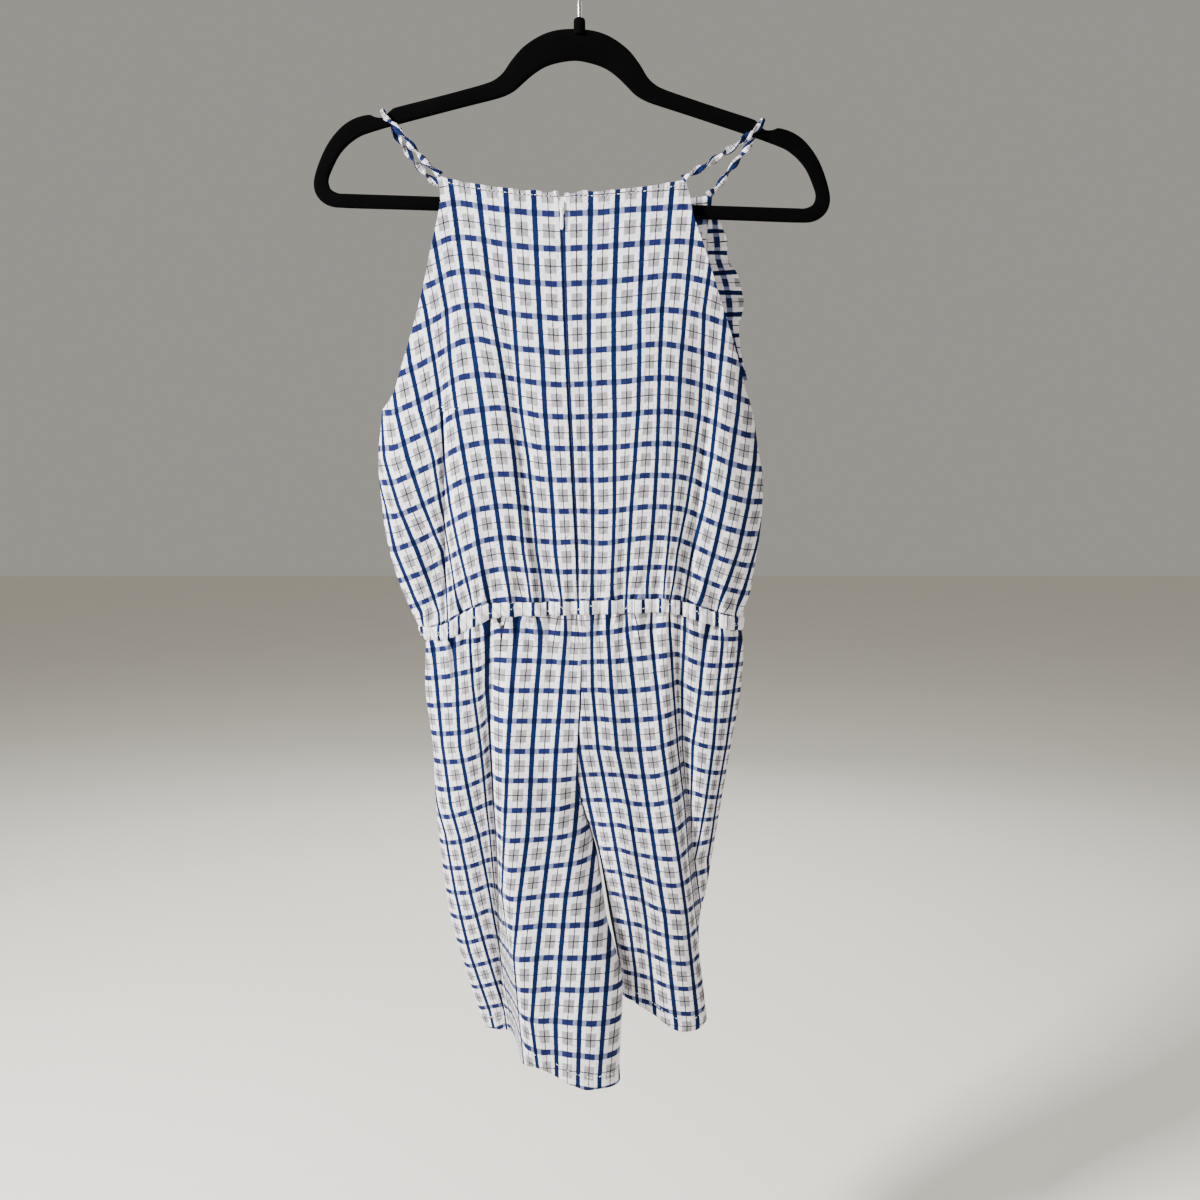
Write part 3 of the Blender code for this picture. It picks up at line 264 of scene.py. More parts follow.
FIRST_BODICE_STRIPE = -10
BACK_BODICE_STRIPES = (
    (-201, (-250, -226, -203, -180, -157, -134, -111, -88, -64, -40, -16,
            10, 33, 56, 80, 101, 122, 143, 165, 187, 209)),
    (-315, (-207, -188, -170, -151, -131, -113, -95, -74, -56, -34, -12,
            8, 29, 51, 70, 90, 106, 125, 145, 165, 185)),
    (-360, (-195, -177, -163, -145, -123, -110, -88, -66, -53, -31, -10,
            8, 29, 51, 68, 86, 105, 121, 140, 160, 180)),
    (-400, (-188, -173, -158, -136, -118, -105, -82, -60, -50, -29, -8,
            9, 30, 50, 67, 84, 103, 117, 136, 156, 176)),
    (-440, (-182, -170, -148, -125, -117, -98, -77, -55, -44, -26, -6,
            10, 30, 47, 66, 82, 98, 113, 130, 152, 172)),
    (-480, (-170, -158, -135, -120, -112, -91, -71, -51, -40, -23, -4,
            11, 30, 44, 64, 79, 92, 107, 124, 146, 164)),
    (-520, (-162, -142, -120, -114, -104, -86, -66, -48, -37, -21, -2,
            11, 29, 42, 61, 76, 84, 98, 116, 138, 154)),
    (-575, (-141, -124, -115, -106, -92, -78, -59, -40, -28, -16, -1,
            9, 26, 40, 55, 70, 78, 88, 102, 120, 138)),
)
FIRST_LEFT_STRIPE = -7
LEFT_LEG_STRIPES = (
    (-590, (-146, -132, -111, -97.5, -81.5, -55, -33, -12, 4, 24)),
    (-638, (-143, -127, -108, -94, -83, -59, -37.5, -16, 2, 24)),
    (-692, (-139, -122, -106, -87.5, -80, -63, -41.5, -20.5, -0.5, 22)),
    (-745, (-129, -114.5, -96, -83, -77.5, -65.5, -44.5, -24, -3, 18)),
    (-771, (-120, -107, -89.4, -80, -75, -67, -46.2, -26.2, -5.3, 14)),
    (-824, (-111.2, -97, -80, -76.2, -73, -70.5, -53.4, -32.7, -12.8, 7.6)),
    (-878, (-99.4, -83.2, -72, -69, -66, -63, -59.5, -38.2, -17.6, 3.6)),
    (-935, (-81.9, -68.4, -64, -61, -59, -57, -55, -43.2, -21.7, -0.6)),
    (-985, (-72, -62, -58, -56, -54, -52, -50, -37.1, -20.9, -2)),
)
FIRST_RIGHT_STRIPE = 1
RIGHT_LEG_STRIPES = (
    (-590, (10, 24, 41, 62, 79, 91, 110, 127, 144)),
    (-638, (10.9, 27.2, 46.6, 67.2, 81.8, 89.6, 105.6, 121.6, 136.6)),
    (-692, (15.9, 32.2, 51.9, 72.6, 86.3, 90.5, 99.1, 118, 130)),
    (-745, (25.4, 42.9, 59.5, 80.1, 93, 95.5, 98, 110.8, 121)),
    (-797, (34.3, 50.7, 67.4, 88.2, 97, 99, 100, 102, 114)),
    (-848, (42.9, 58.3, 75.6, 95.6, 104, 105, 107, 109, 118)),
    (-900, (49.5, 63.5, 80.8, 101.3, 112, 118, 124, 130, 136)),
    (-950, (52.7, 68.2, 86.6, 106.6, 126, 140, 150, 160, 170)),
)

BACK_BODICE_BANDS = (
    (-160, -140, -122, -112, -100, -85, -70, -58, -46, -34, -18, 0, 20, 40, 56, 72, 86, 98, 112, 126, 145),
    (0, (-235, -231, -226, -223, -223, -226, -228, -230, -231, -232, -233,
         -232, -231, -229, -228, -227, -226, -226, -228, -233, -240)),
    (2, (-307, -298, -291, -284, -282, -283, -288, -290, -292, -293, -294,
         -293, -292, -290, -288, -286, -286, -288, -291, -297, -304)),
    (4, (-370, -363, -354, -348, -342, -340, -344, -347, -349, -350, -352,
         -351, -349, -348, -345, -344, -346, -348, -352, -355, -361)),
    (6, (-431, -422, -414, -407, -402, -400, -398, -399, -402, -405, -406,
         -406, -405, -404, -402, -401, -402, -404, -408, -415, -420)),
    (8, (-490, -482, -473, -466, -460, -456, -454, -454, -455, -458, -459,
         -459, -459, -457, -455, -455, -456, -459, -466, -472, -477)),
    (10, (-547, -540, -530, -525, -518, -511, -508, -508, -510, -511, -512,
          -511, -513, -510, -508, -508, -510, -515, -522, -528, -533)),
    (12, (-600, -592, -585, -580, -573, -566, -562, -561, -562, -562, -563,
          -563, -562, -559, -559, -559, -560, -566, -572, -577, -582)),
)
LEFT_LEG_BANDS = (
    (-136, -120, -100, -86, -80, -75, -70, -62, -50, -34, -18, 0, 14, 28),
    (0, (-609, -606, -599, -597, -594, -590, -589, -589, -589, -590, -591, -592, -592, -592)),
    (2, (-658, -656, -653, -649, -638, -640, -641, -641, -641, -641, -641, -642, -642, -642)),
    (4, (-708, -707, -704, -699, -692, -695, -695, -694, -694, -694, -693, -692, -692, -692)),
    (6, (-757, -756, -750, -745, -743, -746, -746, -746, -746, -747, -747, -744, -742, -741)),
    (8, (-804, -803, -799, -795, -793, -794, -798, -799, -798, -797, -795, -794, -791, -789)),
    (10, (-850, -848, -846, -840, -838, -844, -852, -851, -849, -848, -848, -848, -850, -851)),
    (12, (-898, -896, -893, -888, -886, -884, -888, -907, -906, -905, -904, -904, -904, -905)),
    (14, (-942, -940, -936, -932, -930, -929, -928, -934, -958, -963, -963, -964, -966, -966)),
)
RIGHT_LEG_BANDS = (
    (2, 18, 34, 50, 66, 78, 86, 92, 100, 110, 124, 136),
    (0, (-592, -591, -589, -586, -585, -583, -586, -588, -592, -595, -597, -598)),
    (2, (-640, -640, -642, -641, -639, -637, -635, -638, -642, -645, -645, -644)),
    (4, (-690, -690, -692, -693, -692, -688, -687, -685, -689, -692, -695, -696)),
    (6, (-741, -739, -738, -742, -742, -739, -738, -734, -734, -737, -740, -742)),
    (8, (-787, -785, -781, -786, -789, -790, -790, -786, -782, -779, -778, -776)),
    (10, (-829, -830, -826, -828, -837, -840, -841, -842, -842, -837, -832, -828)),
    (12, (-880, -881, -880, -879, -885, -889, -891, -892, -893, -891, -886, -882)),
    (14, (-926, -928, -930, -928, -933, -938, -939, -940, -941, -941, -938, -935)),
)

RIGHT_RUFFLE = (
    ("z", "free", "lift"),
    (
        (-221, 118, 1.0), (-236, 124.5, 4.0), (-250, 128.5, -3.5), (-264, 130.5, 4.5), (-277, 137, -5.5),
        (-291, 143.5, 5.0), (-306, 144, -3.5), (-321, 141.5, 4.5), (-335, 141, -2.0), (-352, 144, 2.0),
        (-370, 149, 0.0),
    ),
)
LEFT_RUFFLE = (
    ("z", "free", "lift"),
    (
        (-221, -112, 1.0), (-236, -102, 5.0), (-250, -99, 1.5), (-264, -97, 6.0), (-278, -98, 2.0),
        (-292, -101, 6.5), (-306, -105, 2.0), (-320, -112, 6.0), (-334, -121, 1.5), (-350, -137, 3.0),
    ),
)
HANGER_HALF = (
    (0, -75.5, 0, -101.5), (17, -77, 14, -103.5), (31, -82, 26, -107.5), (45, -91.5, 36, -114),
    (55, -103, 44, -121), (63, -114.5, 52.5, -128.5), (73, -121.5, 64, -134), (100, -130, 96, -143),
    (128, -138, 124, -151), (154.5, -145.5, 150, -158.5), (158.5, -148.5, 155, -160),
    (164, -153.6, 162, -162), (170.5, -153.6, 169, -164.3), (176, -151.8, 175.5, -166.5),
    (188, -155, 184, -170), (199, -162, 193, -176.5), (210, -175, 201, -185.5), (218, -191, 207, -197),
    (223, -208, 210.5, -207), (221.5, -219, 208.5, -214.5), (214, -227, 202, -218),
    (203, -230, 195, -218.3), (140, -230, 140, -218.3), (70, -230, 70, -218.3),
)
HANGER_BAR_MIDDLE = (0, -230.0, 0, -218.3)
COLLAR = (
    (0.0, -75.0), (2.0, -75.0), (2.0, -67.4), (2.4, -67.0), (3.6, -67.0), (4.6, -67.8), (5.0, -69.4),
    (5.0, -78.0), (5.6, -80.5),
)
HOOK_SHANK = ((0, -74.6), (0, -62), (0, -53), (2.2, -47.5), (8.5, -42.0))
HOOK_LOOP = (math.radians(-48), math.radians(205))
LEFT_STRAP = (
    (-119.0, -7.8, -198.9), (-122.8, -8.8, -195.8), (-133, -9.2, -187), (-146, -8.0, -171.5),
    (-158, -7.0, -157.5), (-165.4, -5.8, -150.2), (-168.2, -4.4, -145.2), (-168.8, 0, -143.2),
    (-168.2, 4.4, -145.6), (-165.4, 5.6, -151), (-158, 8.0, -162), (-143, 11.6, -183), (-126, 12.6, -199.5),
    (-117.0, 9.2, -205.8),
)
RIGHT_STRAP = (
    (88.2, -8.0, -201.9), (92.6, -8.7, -199.4), (105, -9.0, -192.5), (120, -8.6, -183), (135, -8.0, -173),
    (147, -7.2, -163.2), (153.8, -5.9, -157.4), (156.6, -4.4, -152.8), (157.2, 0, -150.9),
    (156.4, 4.4, -153.6), (153.2, 6.0, -159.5), (146, 8.0, -170), (133, 10.0, -186), (119.5, 10.4, -204),
    (112.0, 8.2, -210.6),
)


def lerp(a, b, t):
    return a + (b - a) * t


def smooth(low, high, value):
    t = np.clip((value - low) / (high - low), 0.0, 1.0)
    return t * t * (3.0 - 2.0 * t)


def unit(vectors):
    return vectors / np.maximum(np.linalg.norm(vectors, axis=-1, keepdims=True), 1e-9)


def running(points, axis=0):
    """Length from the start of each line of points, down a grid or across it."""
    steps = np.linalg.norm(np.diff(points, axis=axis), axis=-1)
    start = np.zeros_like(np.take(steps, [0], axis=axis))
    return np.concatenate([start, np.cumsum(steps, axis=axis)], axis=axis)


def place_at(where, along, line):
    """The places on a line of points where the rising values along it reach the wanted ones."""
    return np.stack([np.interp(where, along, line[:, k]) for k in range(3)], axis=-1)


def place_at_height(edge, z):
    order = np.argsort(edge[:, 2])
    return place_at(z, edge[order, 2], edge[order])


def read(table, column, z):
    """One column of a table at the heights z, on a smooth curve through its rows."""
    names, rows = table
    heights = np.array([row[0] for row in rows], float)
    values = np.array([row[names.index(column)] for row in rows], float)
    slopes = np.gradient(values, heights)
    z = np.clip(z, heights[-1], heights[0])
    i = np.clip(np.searchsorted(-heights, -z, side="right") - 1, 0, len(rows) - 2)
    step = heights[i + 1] - heights[i]
    t = (z - heights[i]) / step
    square, cube = t * t, t * t * t
    return (
        (2 * cube - 3 * square + 1) * values[i]
        + (cube - 2 * square + t) * slopes[i] * step
        + (3 * square - 2 * cube) * values[i + 1]
        + (cube - square) * slopes[i + 1] * step
    )


# A panel runs round the body by an angle: a quarter turn to the left or the right of the middle is its side


def side_share(angle):
    s = np.sin(angle)
    return np.copysign(np.abs(s) ** (2.0 / ROUNDNESS), s)


def side_angle(share):
    share = np.clip(share, -1.0, 1.0)
    return np.copysign(np.arcsin(np.abs(share) ** (ROUNDNESS / 2.0)), share)


def stand_off(angle):
    return np.maximum(np.cos(angle), 0.0) ** (2.0 / ROUNDNESS)


def face_window(angle):
    """1 on the faces of the body, fading to 0 at its sides, where no fold is cut."""
    return smooth(0.0, SIDE_FADE, np.cos(angle))


def fold_depth(folds, x, z, starts_softly):
    """Depth of the largest folds of a panel."""
    total = np.zeros(np.broadcast(x, z).shape)
    for row in folds:
        fold = dict(zip(FOLD_COLUMNS, row))
        along = (fold["z_top"] - z) / (fold["z_top"] - fold["z_end"])
        x_line = lerp(fold["x_top"], fold["x_end"], along)
        reach = np.where(x < x_line, fold["reach_left"], fold["reach_right"])
        depth = lerp(fold["depth_top"], fold["depth_end"], along)
        fade = smooth(0.0, FOLD_START_SHARE, along) if starts_softly else 1.0
        inside = (along > 0.0) & (along <= 1.0)
        total += np.where(inside, depth * fade * np.exp(-((x - x_line) / reach) ** 2), 0.0)
    return total


def crease_depth(creases, x, z):
    """Depth of the finer creases: each rises from nothing at its soft end and wanders a little."""
    total = np.zeros(np.broadcast(x, z).shape)
    for row in creases:
        crease = dict(zip(CREASE_COLUMNS, row))
        along = (crease["z_soft"] - z) / (crease["z_soft"] - crease["z_deep"])
        x_line = lerp(crease["x_soft"], crease["x_deep"], along)
        x_line = x_line + CREASE_WANDER * np.sin(along * CREASE_BENDS + crease["x_soft"])
        fade = smooth(0.0, CREASE_RISE, along) * smooth(*CREASE_END, along)
        total += crease["depth"] * fade * np.exp(-((x - x_line) / crease["width"]) ** 2)
    return total


def waist_z(share, is_back):
    seam = WAIST_SEAM["back" if is_back else "front"]
    drop_left = seam["drop_left"] * smooth(0.48, 0.92, -share)
    drop_right = seam["drop_right"] * smooth(0.48, 1.0, share)
    return seam["middle_z"] + WAIST_SLOPE * share - drop_left - drop_right


def body_oval(z):
    left, right = read(BODICE, "left", z), read(BODICE, "right", z)
    return (left + right) / 2.0, (right - left) / 2.0


def gather_wave(position, distance, loose=1.0):
    """The solids' waves out of the gathered waist, and finer ones between them."""
    distance = np.maximum(distance, 0.0)
    drift = GATHER_UNEVEN * np.sin(position / GATHER_DRIFT)
    large = np.exp(-distance / GATHER_REACH) * np.sin(2 * math.pi * position / GATHER_PITCH + drift)
    wander = 1.4 * np.sin(position / 17.0) + 0.8 * np.sin(position / 7.3)
    fine = 2.0 * np.abs(np.sin(math.pi * position / FINE_GATHER_PITCH + wander / 2)) ** 0.8 - 1.0
    fine = fine * np.exp(-distance / FINE_GATHER_REACH)
    fine = np.where(fine < 0, fine * loose, fine)
    return GATHER_HEIGHT * large + FINE_GATHER * fine


def neck_z(x, is_back):
    neck = NECK["back" if is_back else "front"]
    across = x - neck["middle_x"]
    dip = neck["dip"] * (1.0 - (across / neck["half_width"]) ** 2)
    return neck["corner_z"] - dip - neck["slope"] * across


def centre_gap(z):
    upper = lerp(NOTCH_HALF_AT_SLIDER, NOTCH_HALF_TOP, smooth(SLIDER_TOP, NOTCH_TOP_Z, z))
    lower = lerp(SEAM_GAP / 2, NOTCH_HALF_AT_SLIDER, smooth(NOTCH_BOTTOM, NOTCH_WIDE_Z, z))
    return np.where(z > SLIDER_TOP, upper, lower)


def freedom(is_back, x, z, distance):
    """0 where the zip's tape lies close behind the cloth above the waist and keeps it smooth."""
    if not is_back:
        return 1.0
    from_seam = np.abs(x - read(CENTRE_SEAM, "x", z))
    low_down = smooth(TAPE_HOLD_HIGH, TAPE_HOLD_HIGH / 2, distance)
    return 1.0 - smooth(TAPE_HALF + TAPE_FADE, TAPE_HALF, from_seam) * low_down


def bodice_surface(is_back, angle, z, creases=True):
    """The bodice's middle surface, as an array of points."""
    folds = BACK_BODICE_FOLDS if is_back else FRONT_BODICE_FOLDS
    small = BACK_BODICE_CREASES if is_back else FRONT_BODICE_CREASES
    middle, half = body_oval(z)
    x = middle + half * side_share(angle)
    window = face_window(angle)
    distance = z - waist_z(side_share(angle), is_back)
    loose = freedom(is_back, x, z, distance)
    inwards = fold_depth(folds, x, z, True) * window * smooth(CASING_HEIGHT, FOLD_END, distance)
    if creases:
        inwards = inwards + crease_depth(small, x, z) * window * loose
    depth = read(BODICE, "back" if is_back else "front", z)
    off = depth * stand_off(angle) - inwards + window * gather_wave(x, distance, loose)
    y = -off - SEAM_GAP / 2 if is_back else off + SEAM_GAP / 2
    return np.stack(np.broadcast_arrays(x, y, z), axis=-1)


def bodice_grid(is_back, side, s, w):
    """Points of a bodice panel at the shares s across it and w down it."""
    edge_table = BACK_EDGE if is_back else FRONT_EDGE
    s, w = s[None, :], w[:, None]
    z = lerp(*BODICE_GUESS, w) + 0.0 * s
    for _ in range(SETTLE_STEPS):
        middle, half = body_oval(z)
        left = side_angle((read(edge_table, "left", z) - middle) / half)
        right = side_angle((read(edge_table, "right", z) - middle) / half)
        centre = read(CENTRE_SEAM, "x", z)
        if not is_back:
            angle = lerp(left, right, s)
        elif side == "left":
            angle = lerp(left, side_angle((centre - centre_gap(z) - middle) / half), s)
        else:
            angle = lerp(right, side_angle((centre + centre_gap(z) - middle) / half), s)
        share = side_share(angle)
        top = neck_z(middle + half * share, is_back)
        bottom = waist_z(share, is_back) + CASING_HEIGHT + CASING_GAP
        z = lerp(top, bottom, w)
    return bodice_surface(is_back, angle, z)


def hem_z(side, is_back, share):
    z, drops = HEM[("back_" if is_back else "front_") + side]
    for drop, start, end in drops:
        z = z - drop * smooth(start, end, share)
    return z


def seat_oval(z):
    left, right = read(LEFT_LEG, "outer", z), read(RIGHT_LEG, "outer", z)
    return (left + right) / 2, (right - left) / 2


def leg_section(side, is_back, s, z):
    """A leg panel at the heights z: half of the whole body above the crotch, its own oval below it."""
    table, sign = (LEFT_LEG, -1.0) if side == "left" else (RIGHT_LEG, 1.0)
    outwards = -1.0 if is_back else 1.0
    closing = smooth(CROTCH_Z + CROTCH_TURN, CROTCH_Z, z)
    middle, half = seat_oval(z)
    seam_x = read(CENTRE_SEAM, "x", z) + sign * SEAM_GAP / 2
    whole_angle = lerp(sign * math.pi / 2, side_angle((seam_x - middle) / half), s)
    whole_share = side_share(whole_angle)
    depth = read(table, "back" if is_back else "front", z)
    outer = read(table, "outer", z)
    parted = (WALL / 2 + SEAM_GAP) * (1.0 - (1.0 - closing) ** 3)
    inner = read(table, "inner", z) + sign * parted
    leg_angle = lerp(sign * math.pi / 2, -sign * math.pi / 2, s) + 0.0 * z
    leg_share = side_share(leg_angle)
    along = (leg_share * sign * -1.0 + 1.0) / 2
    line_y = lerp(read(table, "y_outer", z), read(table, "y_inner", z), along)
    own_x = (outer + inner) / 2 + np.abs(outer - inner) / 2 * leg_share
    own_y = line_y + outwards * depth * stand_off(leg_angle)
    x = lerp(middle + half * whole_share, own_x, closing)
    y = lerp(outwards * depth * stand_off(whole_angle), own_y, closing)
    return x, y, closing, lerp(whole_angle, leg_angle, closing), whole_share, leg_share


def leg_grid(side, is_back, s, w):
    """Points of a leg panel at the shares s from its outer side to the centre seam and w down it."""
    folds, creases = (BACK_LEG_FOLDS, BACK_LEG_CREASES) if is_back else (FRONT_LEG_FOLDS, FRONT_LEG_CREASES)
    s, w = s[None, :], w[:, None]
    z = lerp(*LEG_GUESS, w) + 0.0 * s
    for _ in range(SETTLE_STEPS):
        here_z = z
        x, y, closing, angle, whole_share, leg_share = leg_section(side, is_back, s, z)
        top = waist_z(lerp(whole_share, leg_share, closing), is_back) - CASING_GAP
        z = lerp(top, hem_z(side, is_back, leg_share), w)
    window = face_window(angle)
    from_seam = 1.0 - s
    seam_window = smooth(0.0, SEAM_FADE, from_seam) * lerp(1.0, smooth(0.0, INSEAM_FADE, from_seam), closing)
    distance = waist_z(whole_share, is_back) - z
    inwards = fold_depth(folds, x, here_z, False) * window * seam_window * smooth(0.0, FOLD_END, distance)
    inwards = inwards + crease_depth(creases, x, z) * window * smooth(0.0, CREASE_SEAM_FADE, from_seam)
    outwards = -1.0 if is_back else 1.0
    y = y + outwards * (window * gather_wave(x, distance) - inwards + SEAM_GAP / 2)
    return np.stack(np.broadcast_arrays(x, y, z), axis=-1)


def leg_top(is_back, angle, z):
    middle, half = seat_oval(z)
    x = middle + half * side_share(angle)
    depth = read(LEFT_LEG, "back" if is_back else "front", z)
    off = depth * stand_off(angle) + face_window(angle) * gather_wave(x, 0.0)
    return np.stack(np.broadcast_arrays(x, -off if is_back else off, z), axis=-1)


def outwards_of(points, is_back):
    """The normals of a panel, on the side that faces away from the body."""
    normals = unit(np.cross(np.gradient(points, axis=1), np.gradient(points, axis=0)))
    flip = np.sign(normals[..., 1]) * (-1.0 if is_back else 1.0)
    middle = np.sign(np.median(flip))
    return normals * (middle if middle else 1.0)


def edge_distance(points, at_top):
    """Distance of each point of a grid from its top or bottom row, down the columns."""
    total = running(points)
    return total if at_top else total[-1:] - total


def spaced(count, crowd=1.0, from_end=False):
    u = np.linspace(0.0, 1.0, count) ** crowd
    return 1.0 - u[::-1] if from_end else u


# Where each place of the cloth lies on the check: u counts its blue stripes and v its blue bands


def arc_across(points, middle_x):
    """Length along each row, counted from where the row crosses middle_x."""
    total = running(points, axis=1)
    start = [np.interp(middle_x, row_x, row_total) for row_x, row_total in zip(points[..., 0], total)]
    return total - np.array(start)[:, None]


def gathered(u, x, distance):
    """The stripes lean this way and that where the elastic gathers the cloth."""
    near = np.exp(-np.maximum(distance, 0.0) / STRIPE_LEAN_REACH)
    lean = np.sin(x / 3.1 + 1.4 * np.sin(x / 11.0)) + 0.6 * np.sin(x / 6.7 + 1.0)
    return u + STRIPE_LEAN * near * lean


def stripe_count(chart, first, x, z):
    """Which stripe of the check lies at a place, counted in repeats, from the stripes' own places."""
    heights = np.array([row[0] for row in chart], float)
    places = np.array([row[1] for row in chart], float)
    stripes = np.arange(places.shape[1]) + first
    flat_x, flat_z = [a.ravel() for a in np.broadcast_arrays(x, z)]
    lines = np.array([np.interp(-flat_z, -heights, stripe) for stripe in places.T])
    k = np.clip((lines <= flat_x).sum(axis=0) - 1, 0, len(stripes) - 2)
    index = np.arange(flat_x.size)
    low, high = lines[k, index], lines[k + 1, index]
    count = stripes[k] + np.clip((flat_x - low) / np.maximum(high - low, 0.5), -8.0, 8.0)
    return count.reshape(np.broadcast(x, z).shape)


def band_count(chart, x, z):
    """Which band of the check lies at a place, counted in repeats, from the bands' own heights."""
    places, rows = chart[0], chart[1:]
    numbers = np.array([row[0] for row in rows], float)
    flat_x, flat_z = [a.ravel() for a in np.broadcast_arrays(x, z)]
    lines = []
    for row in rows:
        near = [np.interp(flat_x + shift, places, row[1]) for shift in (-BAND_SOFTNESS, 0.0, BAND_SOFTNESS)]
        lines.append(0.25 * near[0] + 0.5 * near[1] + 0.25 * near[2])
    lines = np.array(lines)
    k = np.clip((lines >= flat_z).sum(axis=0) - 1, 0, len(rows) - 2)
    index = np.arange(flat_z.size)
    high, low = lines[k, index], lines[k + 1, index]
    count = numbers[k] + (high - flat_z) / (high - low) * (numbers[k + 1] - numbers[k])
    return count.reshape(np.broadcast(x, z).shape)


def bodice_counts(is_back, points):
    x, z = points[..., 0], points[..., 2]
    if is_back:
        u = stripe_count(BACK_BODICE_STRIPES, FIRST_BODICE_STRIPE, x, z)
        v = band_count(BACK_BODICE_BANDS, x, z)
    else:
        u = arc_across(points, 0.0) / REPEAT_WIDE
        # The front's bands lie a little closer together near the waist
        down = -233.5 - z - 4.0 * np.cos(x / 60.0)
        v = down / 30.3 + 1.055e-5 * down * np.abs(down)
    return gathered(u, x, edge_distance(points, False)), v


def leg_counts(side, is_back, points):
    x, z = points[..., 0], points[..., 2]
    if is_back and side == "left":
        u = stripe_count(LEFT_LEG_STRIPES, FIRST_LEFT_STRIPE, x, z)
        v = band_count(LEFT_LEG_BANDS, x, z)
    elif is_back:
        u = stripe_count(RIGHT_LEG_STRIPES, FIRST_RIGHT_STRIPE, x, z)
        v = band_count(RIGHT_LEG_BANDS, x, z)
    else:
        arc = running(points, axis=1)
        sign = 1.0 if side == "left" else -1.0
        u = sign * (arc - arc[:, -1:]) / REPEAT_WIDE + 0.3
        v = (-587.0 - z - 3.0 * np.cos(x / 45.0)) / 26.6
    return gathered(u, x, edge_distance(points, True)), v


# How meshes are made


def linked(name, data):
    thing = bpy.data.objects.new(name, data)
    bpy.context.collection.objects.link(thing)
    return thing


def grid_mesh(name, points, u, v):
    """A sheet through a grid of points in millimetres, with the check's repeat counts as its UV map."""
    rows, columns = points.shape[:2]
    index = np.arange(rows * columns).reshape(rows, columns)
    faces = np.stack([index[:-1, :-1], index[1:, :-1], index[1:, 1:], index[:-1, 1:]], axis=-1).reshape(-1, 4)
    mesh = bpy.data.meshes.new(name)
    mesh.from_pydata((points.reshape(-1, 3) * MM).tolist(), [], faces.tolist())
    layer = mesh.uv_layers.new(name="UVMap")
    counts = np.stack(np.broadcast_arrays(u, v), axis=-1).reshape(-1, 2)
    layer.data.foreach_set("uv", counts[faces.ravel()].astype(np.float32).ravel())
    mesh.shade_smooth()
    return linked(name, mesh)


def weld(thing):
    """Joins the doubled edges of a sheet that was rolled up, and closes its ends if they are open."""
    shape = bmesh.new()
    shape.from_mesh(thing.data)
    bmesh.ops.remove_doubles(shape, verts=shape.verts, dist=0.000001)
    ends = [edge for edge in shape.edges if edge.is_boundary]
    if ends:
        bmesh.ops.holes_fill(shape, edges=ends, sides=0)
    bmesh.ops.recalc_face_normals(shape, faces=shape.faces)
    shape.to_mesh(thing.data)
    shape.free()
    thing.data.shade_smooth()


def add_ring(shape, places):
    return [shape.verts.new(Vector(place) * MM) for place in places]


def round_ring(centre, first, second, sides):
    turns = [2 * math.pi * k / sides for k in range(sides)]
    return [centre + first * math.cos(turn) + second * math.sin(turn) for turn in turns]


def skin(shape, rings, closed=False):
    """Faces from ring to ring, back to the first one or with a cap on each end."""
    following = rings[1:] + rings[:1] if closed else rings[1:]
    for ring, after in zip(rings, following):
        for k in range(len(ring)):
            m = (k + 1) % len(ring)
            shape.faces.new((ring[k], ring[m], after[m], after[k]))
    if not closed:
        shape.faces.new(rings[0])
        shape.faces.new(rings[-1])


def finished(name, shape, soft=True):
    bmesh.ops.recalc_face_normals(shape, faces=shape.faces)
    mesh = bpy.data.meshes.new(name)
    shape.to_mesh(mesh)
    shape.free()
    if soft:
        mesh.shade_smooth()
    return linked(name, mesh)


def dress(thing, material, body="garment", nodes=()):
    """Gives a piece its material and its body, and hides the solids that it stands for."""
    thing.data.materials.clear()
    thing.data.materials.append(material)
    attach(thing, body)
    if nodes:
        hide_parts(*nodes)
    return thing


